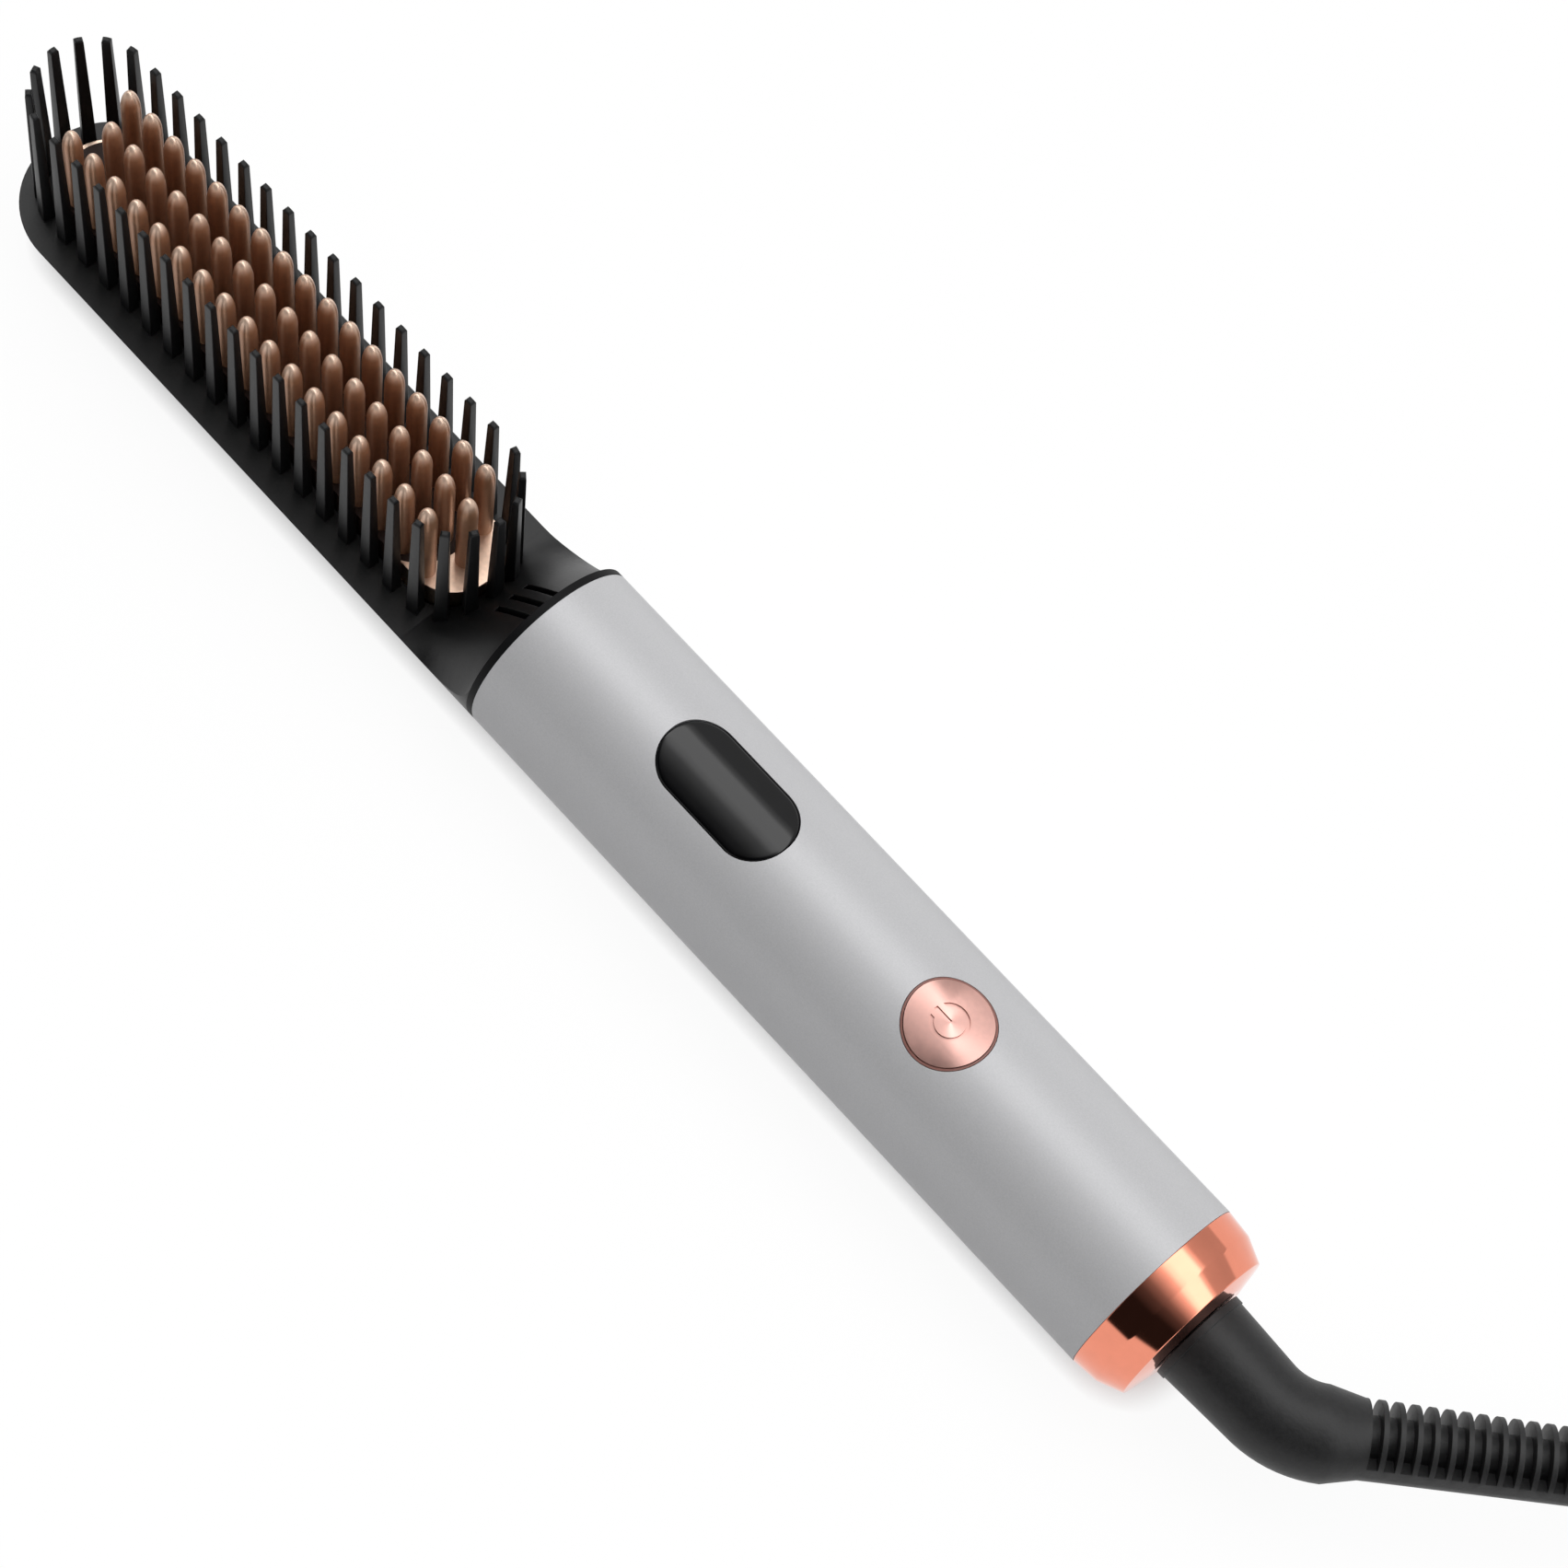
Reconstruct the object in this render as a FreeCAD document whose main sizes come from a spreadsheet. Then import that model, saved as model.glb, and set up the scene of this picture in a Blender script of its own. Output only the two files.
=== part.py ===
import FreeCAD, Part
import math
import os
import types

import Sketcher

# Heated styling brush lying on its back. The handle axis runs along X, the bristles stand up along Z,
# and the origin lies on the table under the middle of the brush. Lengths are in millimetres.

SIZES = {
    # Outer shape, from the tip of the deck to the tail cap
    "handle_radius": 15.0,
    "head_length": 113.85,
    "collar_width": 1.2,
    "tube_length": 127.0,
    "cap_length": 8.8,
    # General fits
    "overrun": 2.0,
    "seat_gap": 0.15,
    "screw_gap": 0.05,
    "running_gap": 0.06,
    # Comb housing: deck, neck slope and vents
    "deck_height": 10.0,
    "deck_thickness": 2.2,
    "back_wall": 2.0,
    "neck_length": 15.8,
    "neck_crown_drop": 2.4,
    "neck_side": 0.5,
    "neck_wall": 3.2,
    "vent_width": 1.1,
    "vent_length": 6.6,
    "vent_pitch": 2.75,
    "vent_setback": 1.0,
    "spigot_length": 10.0,
    "spigot_wall": 1.6,
    # Bristles round the plate
    "comb_front_margin": 2.5,
    "comb_rear_margin": 11.05,
    "bristle_offset": 1.85,
    "bristle_length": 28.0,
    "bristle_base_width": 1.9,
    "bristle_base_depth": 1.7,
    "bristle_tip_width": 1.1,
    "bristle_tip_depth": 0.8,
    "bristle_tip_round": 0.4,
    "bristle_pitch": 5.06,
    "bristle_end_pitch": 4.1,
    "bristle_overhang": 2.21,
    # Heated plate with its teeth
    "plate_margin": 7.5,
    "plate_front_inset": 1.75,
    "plate_rise": 5.0,
    "plate_gap": 0.25,
    "flange_margin": 1.7,
    "flange_thickness": 1.5,
    "tooth_radius": 1.55,
    "tooth_height": 19.1,
    "tooth_dome": 4.5,
    "tooth_pitch": 5.03,
    "tooth_edge": 2.03,
    "tooth_inset": 0.55,
    "tooth_shift": 0.75,
    # Heater under the plate
    "heater_edge": 2.6,
    "heater_thickness": 2.4,
    "heater_front_inset": 2.8,
    "heater_rear_inset": 4.8,
    "heater_cover": 2.5,
    "heater_side_gap": 0.3,
    "bar_inset": 11.8,
    "terminal_thickness": 0.4,
    "terminal_width": 3.0,
    "terminal_overlap": 3.0,
    "terminal_drop": 1.1,
    "thermistor_radius": 1.1,
    "thermistor_length": 3.1,
    "thermistor_setback": 3.0,
    "rib_width": 2.0,
    # Leads inside the brush
    "lead_radius": 0.8,
    "sensor_lead_radius": 0.55,
    "lead_spread": 2.5,
    "lead_floor": 1.4,
    "lead_bend": 5.0,
    "lead_landing": 6.0,
    "fuse_radius": 1.5,
    "fuse_length": 9.0,
    "fuse_setback": 4.0,
    # Handle tube and display window
    "tube_wall": 1.8,
    "window_setback": 37.1,
    "window_length": 24.0,
    "window_width": 12.5,
    "window_corner": 6.0,
    "window_fit": 0.1,
    "lens_depth": 3.1,
    "lens_margin": 1.0,
    # Chassis and circuit board
    "chassis_gap": 0.3,
    "chassis_wall": 1.75,
    "board_thickness": 1.6,
    "board_side_gap": 0.35,
    "board_setback": 3.7,
    "board_end_gap": 5.3,
    "boss_radius": 2.6,
    "boss_front_gap": 1.0,
    "boss_rear_gap": 1.5,
    "screw_radius": 1.1,
    "screw_length": 8.0,
    "screw_head_radius": 2.2,
    "screw_head_height": 1.6,
    "display_length": 20.0,
    "display_width": 10.0,
    "display_height": 3.6,
    "chip_side": 7.0,
    "chip_height": 1.4,
    "chip_setback": 5.0,
    "triac_setback": 18.9,
    "triac_length": 10.0,
    "triac_width": 4.4,
    "triac_height": 4.5,
    "capacitor_length": 13.0,
    "capacitor_radius": 3.0,
    "fuse_tube_radius": 1.8,
    "fuse_tube_length": 10.0,
    "fuse_tube_setback": 4.9,
    # Power button and the switch under it
    "button_setback": 44.1,
    "button_radius": 6.45,
    "button_proud": 0.2,
    "button_gap": 0.1,
    "button_rim": 0.3,
    "button_flange": 0.3,
    "button_flange_height": 1.2,
    "button_stem_radius": 1.8,
    "button_stem_length": 0.15,
    "guide_gap": 0.15,
    "guide_lip_gap": 0.15,
    "guide_shelf": 0.55,
    "guide_wall": 1.45,
    "guide_top_gap": 0.25,
    "symbol_radius": 2.6,
    "symbol_width": 0.6,
    "symbol_depth": 0.3,
    "symbol_opening": 2.4,
    "symbol_bar": 3.0,
    "switch_side": 6.0,
    "switch_height": 1.8,
    "plunger_radius": 1.5,
    "plunger_lift": 0.8,
    "plunger_length": 1.6,
    "plunger_gap": 0.05,
    # Tail cap, swivel socket and contacts
    "cap_taper": 0.4,
    "cap_straight": 4.2,
    "cap_round": 3.8,
    "cap_shoulder": 2.0,
    "cap_bore_depth": 6.6,
    "cap_hole_radius": 4.9,
    "cap_wall": 2.25,
    "cap_flat_margin": 0.9,
    "hub_gap": 0.15,
    "hub_length": 6.3,
    "socket_length": 23.4,
    "socket_cup_depth": 8.4,
    "socket_cup_radius": 8.0,
    "stem_radius": 4.6,
    "stem_nose_radius": 3.0,
    "stem_nose_length": 5.5,
    "stem_reach": 1.9,
    "clip_radius": 6.6,
    "clip_thickness": 0.8,
    "clip_inset": 1.0,
    "clip_gap": 0.3,
    "ring_radius": 4.2,
    "ring_width": 1.5,
    "ring_pitch": 2.5,
    "ring_setback": 0.7,
    "brush_gap": 0.2,
    "brush_tip": 1.2,
    "brush_half_height": 1.2,
    "brush_reach": 1.6,
    "mains_lead_radius": 0.9,
    "mains_lead_bend": 2.5,
    "mains_lead_leg": 4.0,
    "mains_landing": 4.0,
    # Strain relief
    "relief_gap": 0.25,
    "relief_flange_radius": 7.6,
    "relief_flange": 1.2,
    "relief_root_radius": 7.4,
    "relief_bend_radius": 6.9,
    "relief_straight": 18.0,
    "relief_bend": 14.0,
    "relief_taper": 10.4,
    "rib_root_radius": 5.7,
    "rib_tip_radius": 5.3,
    "rib_pitch": 2.37,
    "rib_groove": 1.6,
    "rib_depth": 2.2,
    "rib_tail": 4.04,
    # Mains cord and its coil
    "cord_radius": 3.0,
    "coil_pitch": 6.6,
    "coil_mean_radius": 31.0,
    # Plug
    "plug_width": 35.3,
    "plug_thickness": 13.7,
    "plug_length": 24.0,
    "plug_neck_length": 12.0,
    "plug_neck_radius": 5.0,
    "pin_radius": 2.0,
    "pin_length": 19.0,
    "pin_spacing": 18.6,
    "pin_root": 6.0,
    "sleeve_radius": 1.7,
    "sleeve_length": 9.0,
    "core_radius": 1.5,
}

# Counts, angles in degrees and shares
RELIEF_TURN = 41.3
RIB_COUNT = 18
RIB_SPINE = 58.0
COIL_TURNS = 7 + 1 / 12
COIL_LAYERS = 4
COIL_STEPS = 28
TUBE_VOLUME_SHARE = 0.01
LEAD_BEND_SHARE = 0.9
BOARD_PART_SHARE = 0.5
BLADE_TIP_SHARE = 0.6
CORD_BEND_SHARE = 0.45
GAP_STEP_SHARE = 0.7
COIL_NEIGHBOUR_SHARE = 0.4
PLUG_NECK_SHARE = 0.8
PIN_TIP_SHARE = 0.4
# Plug sections from the neck to the face, as shares of length, width and thickness
PLUG_SHARES = ((0.0, 0.42, 0.8), (0.55, 1.0, 1.0), (1.0, 1.0, 1.0))
# Route of the free cord from the strain relief: along, across and share of the climb to the coil
CORD_ROUTE = (
    (0.0, 0.0, 0.0),
    (11.27, 9.9, 0.0),
    (26.0, 17.7, 0.5),
    (40.2, 21.0, 1.0),
    (52.7, 21.0, 1.0),
)
# Route of the cord from the coil to the plug: along and share of the rise
PLUG_TAIL_ROUTE = ((0.0, 0.0), (10.0, 0.0), (23.5, 1.0), (33.5, 1.0))
# Neck sections: place along the neck, height of the crown and of the sides, as shares of length and rise
NECK_SHARES = (
    (0.0, 0.004, 0.0),
    (0.304, 0.227, 0.0),
    (0.576, 0.551, 0.023),
    (0.766, 0.756, 0.085),
    (1.0, 1.0, 0.369),
)

document = FreeCAD.newDocument("StylingBrush")
sheet = document.addObject("Spreadsheet::Sheet", "Sizes")
for row, (alias, number) in enumerate(SIZES.items(), start=1):
    sheet.set("A%d" % row, alias)
    sheet.set("B%d" % row, str(number))
    sheet.setAlias("B%d" % row, alias)
document.recompute()

NODES = []


class Size:
    """A length from the sheet, or a sum or share of such lengths, with the formula that binds it."""

    def __init__(self, value, formula):
        self.value = value
        self.formula = formula

    def __add__(self, other):
        return Size(self.value + value_of(other), "(%s + %s)" % (self.formula, formula_of(other)))

    def __sub__(self, other):
        return Size(self.value - value_of(other), "(%s - %s)" % (self.formula, formula_of(other)))

    def __mul__(self, share):
        return Size(self.value * share, "(%s * %r)" % (self.formula, share))

    def __truediv__(self, share):
        return Size(self.value / share, "(%s / %r)" % (self.formula, share))

    def __neg__(self):
        return Size(-self.value, "(-1 * %s)" % self.formula)


def value_of(length):
    return length.value if isinstance(length, Size) else length


def formula_of(length):
    return length.formula if isinstance(length, Size) else repr(length)


def chord_half(radius, height):
    """Half the chord of a circle of this radius at this height over its centre."""
    value = math.sqrt(radius.value ** 2 - height.value ** 2)
    return Size(value, "sqrt(%s ^ 2 - %s ^ 2)" % (radius.formula, height.formula))


def lower_of(first, second):
    return Size(min(first.value, second.value), "min(%s; %s)" % (first.formula, second.formula))


def higher_of(first, second):
    return Size(max(first.value, second.value), "max(%s; %s)" % (first.formula, second.formula))


size = types.SimpleNamespace(
    **{alias: Size(number, "Sizes.%s" % alias) for alias, number in SIZES.items()})
NONE = size.overrun * 0

# Places along and above the axis that several pieces share
axis_height = size.handle_radius
body_length = size.head_length + size.collar_width + size.tube_length + size.cap_length
tip_x = body_length * -0.5
collar_x = tip_x + size.head_length
tube_x = collar_x + size.collar_width
cap_x = tube_x + size.tube_length
tail_x = cap_x + size.cap_length
plate_radius = size.handle_radius - size.plate_margin
bristle_ring_radius = plate_radius + size.bristle_offset
comb_length = size.head_length - size.comb_front_margin - size.comb_rear_margin
comb_half_length = comb_length * 0.5 - bristle_ring_radius
comb_x = tip_x + size.comb_front_margin + comb_length * 0.5
plate_x = comb_x + size.plate_front_inset * 0.5
plate_half_length = comb_half_length - size.plate_front_inset * 0.5
deck_top = size.deck_height
ball_x = tip_x + chord_half(size.handle_radius, axis_height - deck_top)
neck_rise = axis_height + size.handle_radius - size.neck_crown_drop - deck_top
parting = deck_top - size.deck_thickness
plate_top = deck_top + size.plate_rise
flange_bottom = parting - size.flange_thickness
heater_half_width = plate_radius - size.heater_edge
heater_front = comb_half_length - size.heater_front_inset
heater_rear = comb_half_length - size.heater_rear_inset
bar_rear = comb_half_length - size.bar_inset
bore_radius = size.handle_radius - size.tube_wall
insert_radius = bore_radius - size.seat_gap
socket_x = cap_x - size.socket_length
chassis_x = tube_x + size.spigot_length + size.chassis_gap
chassis_length = socket_x - size.chassis_gap - chassis_x
board_x = chassis_x + size.board_setback
board_length = chassis_length - size.board_setback - size.board_end_gap
lead_height = axis_height - insert_radius + size.chassis_wall + size.lead_floor
button_x = cap_x - size.button_setback
window_x = tube_x + size.window_setback

# Heights inside the handle, from the guide's shelf under the tube wall down to the circuit board
button_flange_radius = size.button_radius + size.button_flange
sleeve_bore = button_flange_radius + size.guide_gap
sleeve_radius = sleeve_bore + size.guide_wall
shelf_top = axis_height + chord_half(bore_radius, sleeve_radius) - size.guide_top_gap
shelf_bottom = shelf_top - size.guide_shelf
shoulder = shelf_bottom - size.guide_lip_gap
flange_foot = shoulder - size.button_flange_height
stem_foot = flange_foot - size.button_stem_length
plunger_top = stem_foot - size.plunger_gap
plunger_bottom = plunger_top - size.plunger_length
board_top = plunger_bottom - size.plunger_lift
board_bottom = board_top - size.board_thickness
board_half_width = chord_half(bore_radius, board_top - axis_height) - size.board_side_gap

ALONG_X = FreeCAD.Rotation(FreeCAD.Vector(0, 1, 0), 90)
STANDING = FreeCAD.Rotation(FreeCAD.Vector(0, 1, 0), -90)
UPRIGHT = FreeCAD.Rotation()


def bind(item, **lengths):
    """Bind properties of a document object to formulas of the sheet."""
    for name, length in lengths.items():
        item.setExpression(name, formula_of(length))


def place(item, x, y, z, turn=UPRIGHT):
    item.Placement = FreeCAD.Placement(FreeCAD.Vector(), turn)
    item.setExpression("Placement.Base.x", formula_of(x))
    item.setExpression("Placement.Base.y", formula_of(y))
    item.setExpression("Placement.Base.z", formula_of(z))
    return item


def rod(radius, length, x, y, z, turn=UPRIGHT):
    item = document.addObject("Part::Cylinder", "Rod")
    bind(item, Radius=radius, Height=length)
    return place(item, x, y, z, turn)


def block(x_from, x_to, y_from, y_to, z_from, z_to):
    item = document.addObject("Part::Box", "Block")
    bind(item, Length=x_to - x_from, Width=y_to - y_from, Height=z_to - z_from)
    return place(item, x_from, y_from, z_from)


def joined(*items):
    item = document.addObject("Part::MultiFuse", "Joined")
    item.Shapes = list(items)
    item.Refine = True
    return item


def common(*items):
    item = document.addObject("Part::MultiCommon", "Common")
    item.Shapes = list(items)
    return item


def cut(base, *tools):
    item = document.addObject("Part::Cut", "Cut")
    item.Base = base
    item.Tool = tools[0] if len(tools) == 1 else joined(*tools)
    return item


def shaped(shape):
    """An object whose shape is worked out in code, for forms that no primitive or sketch gives."""
    item = document.addObject("Part::Feature", "Shaped")
    item.Shape = shape
    return item


def group(*items):
    """Like pieces that share one node, each a solid of its own."""
    item = document.addObject("Part::Compound", "Group")
    item.Links = list(items)
    return item


def node(item, label):
    item.Label = label
    NODES.append(item)
    return item


def sketch_outline(body, role, points):
    """A closed outline on one of the body's origin planes, each corner bound to the sheet."""
    sketch = body.newObject("Sketcher::SketchObject", "Outline")
    plane = [feature for feature in body.Origin.OriginFeatures if feature.Role == role][0]
    sketch.AttachmentSupport = [(plane, "")]
    sketch.MapMode = "FlatFace"
    corners = [FreeCAD.Vector(value_of(along), value_of(out), 0) for along, out in points]
    for index, corner in enumerate(corners):
        following = corners[(index + 1) % len(corners)]
        sketch.addGeometry(Part.LineSegment(corner, following))
    for index in range(len(corners)):
        before = (index - 1) % len(corners)
        sketch.addConstraint(Sketcher.Constraint("Coincident", before, 2, index, 1))
    for index, (along, out) in enumerate(points):
        for kind, length in (("DistanceX", along), ("DistanceY", out)):
            number = sketch.addConstraint(
                Sketcher.Constraint(kind, -1, 1, index, 1, value_of(length)))
            sketch.setExpression("Constraints[%d]" % number, formula_of(length))
    return sketch


def turned(points, x, y, z, turn=UPRIGHT):
    """A turned piece: (along, out) corners spun about the X axis of the piece."""
    body = document.addObject("PartDesign::Body", "Turned")
    sketch = sketch_outline(body, "XZ_Plane", points)
    revolution = body.newObject("PartDesign::Revolution", "Spin")
    revolution.Profile = sketch
    revolution.ReferenceAxis = (sketch, ["H_Axis"])
    revolution.Angle = 360
    return place(body, x, y, z, turn)


def padded(points, height, x, y, z):
    """A flat piece: (x, y) corners padded upwards."""
    body = document.addObject("PartDesign::Body", "Padded")
    pad = body.newObject("PartDesign::Pad", "Pad")
    pad.Profile = sketch_outline(body, "XY_Plane", points)
    bind(pad, Length=height)
    return place(body, x, y, z)


def rectangle(x_from, x_to, half_width):
    return [(x_from, -half_width), (x_to, -half_width), (x_to, half_width), (x_from, half_width)]


def stadium(x_middle, half_length, radius, z_from, z_to):
    """A block with half-round ends."""
    height = z_to - z_from
    return joined(
        block(x_middle - half_length, x_middle + half_length, -radius, radius, z_from, z_to),
        rod(radius, height, x_middle - half_length, NONE, z_from),
        rod(radius, height, x_middle + half_length, NONE, z_from))


def rounded_block(x_middle, length, width, corner, z_from, z_to):
    """An upright block with rounded corners, centred on the XZ plane."""
    half_length = length * 0.5
    half_width = width * 0.5
    height = z_to - z_from
    pieces = [
        block(x_middle - half_length + corner, x_middle + half_length - corner,
              -half_width, half_width, z_from, z_to),
        block(x_middle - half_length, x_middle + half_length,
              corner - half_width, half_width - corner, z_from, z_to)]
    for end in (-1, 1):
        for side in (-1, 1):
            pieces.append(rod(corner, height, x_middle + (half_length - corner) * end,
                              (half_width - corner) * side, z_from))
    return joined(*pieces)


def ring(outer, inner, length, x):
    """A ring round the handle axis, from x onwards."""
    hole = rod(inner, length + size.overrun * 2, x - size.overrun, NONE, axis_height, ALONG_X)
    return cut(rod(outer, length, x, NONE, axis_height, ALONG_X), hole)


def point(x, y, z):
    return FreeCAD.Vector(value_of(x), value_of(y), value_of(z))


def bent_wire(points, bends):
    """Straight runs joined by tangent arcs, one bend radius for each inner point."""
    edges = []
    start = points[0]
    for before, corner, after, bend in zip(points, points[1:], points[2:], bends):
        arrive = (corner - before).normalize()
        leave = (after - corner).normalize()
        half_turn = arrive.getAngle(leave) / 2
        reach = bend * math.tan(half_turn)
        arc_start = corner - arrive * reach
        arc_end = corner + leave * reach
        inward = (leave - arrive).normalize()
        arc_middle = corner + inward * (bend / math.cos(half_turn) - bend)
        edges.append(Part.LineSegment(start, arc_start).toShape())
        edges.append(Part.Arc(arc_start, arc_middle, arc_end).toShape())
        start = arc_end
    edges.append(Part.LineSegment(start, points[-1]).toShape())
    return Part.Wire(edges)


def tube_along(wire, radius):
    """A solid round tube along a wire, with its volume held against section times length."""
    first = wire.OrderedEdges[0]
    direction = first.tangentAt(first.FirstParameter)
    section = Part.Wire(Part.Circle(first.Vertexes[0].Point, direction, radius).toShape())
    tube = wire.makePipeShell([section], True, False)
    expected = math.pi * radius ** 2 * wire.Length
    if abs(tube.Volume / expected - 1) > TUBE_VOLUME_SHARE:
        raise ValueError("tube volume %.1f, expected %.1f" % (tube.Volume, expected))
    return tube


# Head

def head_form(radius):
    """The head's outer form: a round bar along the axis with a ball end at the tip."""
    bar = rod(radius, collar_x - ball_x, ball_x, NONE, axis_height, ALONG_X)
    ball = document.addObject("Part::Sphere", "Ball")
    bind(ball, Radius=radius)
    return joined(bar, place(ball, ball_x, NONE, axis_height))


def neck_form():
    """The scooped slope from the deck up to the collar, lofted through arched sections."""
    half_width = (size.handle_radius + size.neck_side).value
    bottom = parting.value
    start_x = (collar_x - size.neck_length).value
    sections = []
    for along_share, top_share, side_share in NECK_SHARES:
        x = start_x + along_share * size.neck_length.value
        top = deck_top.value + top_share * neck_rise.value
        side = deck_top.value + side_share * neck_rise.value
        left = FreeCAD.Vector(x, -half_width, side)
        crown = FreeCAD.Vector(x, 0, top)
        right = FreeCAD.Vector(x, half_width, side)
        right_foot = FreeCAD.Vector(x, half_width, bottom)
        left_foot = FreeCAD.Vector(x, -half_width, bottom)
        sections.append(Part.Wire([
            Part.Arc(left, crown, right).toShape(),
            Part.LineSegment(right, right_foot).toShape(),
            Part.LineSegment(right_foot, left_foot).toShape(),
            Part.LineSegment(left_foot, left).toShape()]))
    return shaped(Part.makeLoft(sections, True, False))


def bristle_places():
    """Feet of the bristles on the ring round the plate, as offsets from the comb's middle, and the
    angle at which each faces outwards."""
    ring_radius = bristle_ring_radius.value
    end = comb_half_length.value
    row_gaps = round((end + size.bristle_overhang.value) * 2 / size.bristle_pitch.value)
    places = []
    for index in range(row_gaps + 1):
        x = (index - row_gaps / 2) * size.bristle_pitch.value
        past_end = math.copysign(max(abs(x) - end, 0), x)
        y = math.sqrt(ring_radius ** 2 - past_end ** 2)
        facing = math.degrees(math.atan2(y, past_end))
        places += [(x, y, facing), (x, -y, -facing)]
    last_past_end = row_gaps / 2 * size.bristle_pitch.value - end
    span = 2 * math.acos(last_past_end / ring_radius)
    end_gaps = max(round(span * ring_radius / size.bristle_end_pitch.value), 2)
    for index in range(1, end_gaps):
        turn = span * (index / end_gaps - 0.5)
        reach = end + ring_radius * math.cos(turn)
        y = ring_radius * math.sin(turn)
        facing = math.degrees(turn)
        places += [(reach, y, facing), (-reach, y, 180 - facing)]
    return places


def blade_section(depth, width, height):
    corners = [FreeCAD.Vector(along * depth / 2, across * width / 2, height)
               for along, across in ((-1, -1), (1, -1), (1, 1), (-1, 1))]
    return Part.makePolygon(corners + corners[:1])


def bristles():
    """Tapered blades with blunt tips that stand on the deck and on the foot of the neck slope."""
    tip_depth = size.bristle_tip_depth.value
    tip_width = size.bristle_tip_width.value
    length = size.bristle_length.value
    blade = Part.makeLoft([
        blade_section(size.bristle_base_depth.value, size.bristle_base_width.value, 0),
        blade_section(tip_depth, tip_width, length - size.bristle_tip_round.value),
        blade_section(tip_depth * BLADE_TIP_SHARE, tip_width * BLADE_TIP_SHARE, length)], True, True)
    pieces = []
    for x, y, facing in bristle_places():
        piece = blade.copy()
        piece.Placement = FreeCAD.Placement(
            FreeCAD.Vector(comb_x.value + x, y, deck_top.value),
            FreeCAD.Rotation(FreeCAD.Vector(0, 0, 1), facing))
        pieces.append(piece)
    return node(cut(shaped(Part.makeCompound(pieces)), neck_form()), "bristles")


def spigot(z_from, z_to):
    """Part of the round spigot by which the head plugs into the handle tube."""
    length = size.spigot_length + size.collar_width
    pipe = ring(insert_radius, insert_radius - size.spigot_wall, length, collar_x)
    side = size.handle_radius
    half = block(collar_x - size.overrun, tube_x + size.spigot_length + size.overrun,
                 -side, side, z_from, z_to)
    return common(pipe, half)


def comb_housing():
    """Upper head moulding: deck, neck slope with vents, and the upper spigot."""
    side = size.handle_radius + size.overrun
    slab = block(tip_x - size.overrun, collar_x, -side, side, parting, deck_top)
    moulding = common(head_form(size.handle_radius), joined(slab, neck_form()))
    opening = stadium(plate_x, plate_half_length, plate_radius + size.plate_gap,
                      parting - size.overrun, deck_top + size.overrun)
    cavity_front = collar_x - size.neck_length + size.neck_wall
    cavity_top = deck_top + neck_rise - size.neck_wall
    width = plate_radius
    wedge = document.addObject("Part::Wedge", "NeckCavity")
    bind(wedge, Xmin=NONE, Xmax=width * 2, X2min=NONE, X2max=width * 2,
         Ymin=NONE, Ymax=collar_x - cavity_front + size.overrun,
         Zmin=NONE, Zmax=size.deck_thickness * 0.5,
         Z2min=NONE, Z2max=cavity_top - parting)
    place(wedge, cavity_front, width, parting, FreeCAD.Rotation(FreeCAD.Vector(0, 0, 1), -90))
    vents = []
    vent_x = collar_x - size.vent_setback - size.vent_length
    for step in (-1, 0, 1):
        middle = size.vent_pitch * step
        vents.append(block(vent_x, vent_x + size.vent_length, middle - size.vent_width * 0.5,
                           middle + size.vent_width * 0.5, deck_top, axis_height + size.handle_radius))
    shell = cut(moulding, opening, wedge, *vents)
    upper_spigot = spigot(parting, axis_height + size.handle_radius)
    return node(joined(shell, upper_spigot), "comb_housing")


def back_shell():
    """Rounded lower head moulding with its ribs and the lower spigot."""
    side = size.handle_radius
    lower = block(tip_x, collar_x, -side, side, NONE, parting)
    hollow_end = ring(size.handle_radius, insert_radius - size.spigot_wall, size.back_wall,
                      collar_x - size.back_wall)
    wall = cut(head_form(size.handle_radius), head_form(size.handle_radius - size.back_wall))
    shell = common(joined(wall, hollow_end), lower)
    cup = head_form(size.handle_radius - size.back_wall * 0.5)
    flange_edge = plate_radius + size.flange_margin
    rib_front = comb_x - comb_half_length
    rib_rear = comb_x + comb_half_length
    ribs = []
    for edge in (flange_edge - size.rib_width, -flange_edge):
        ribs.append(block(rib_front, rib_rear, edge, edge + size.rib_width, NONE, flange_bottom))
    half_rib = size.rib_width * 0.5
    ribs.append(block(comb_x - heater_front, comb_x + bar_rear,
                      -half_rib, half_rib, NONE, flange_bottom))
    shell_ribs = common(joined(*ribs), cup)
    lower_spigot = spigot(NONE, parting)
    return node(joined(shell, shell_ribs, lower_spigot), "back_shell")


def collar_ring():
    """Black ring trapped between head and handle tube, round the spigot."""
    return node(ring(size.handle_radius, insert_radius + size.seat_gap, size.collar_width, collar_x),
                "collar_ring")


def tooth_places():
    """Feet of the teeth in three rows, the middle row shifted by half a pitch."""
    places = []
    pitch = size.tooth_pitch.value
    row_gap = (plate_radius - size.tooth_edge).value
    gaps = round((comb_half_length - size.tooth_inset).value * 2 / pitch)
    for row in (-1, 0, 1):
        shift = size.tooth_shift.value
        if row == 0:
            shift += pitch / 2
        for index in range(gaps + 1):
            x = (index - gaps / 2) * pitch + shift
            places.append((x, row * row_gap))
    return places


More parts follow.
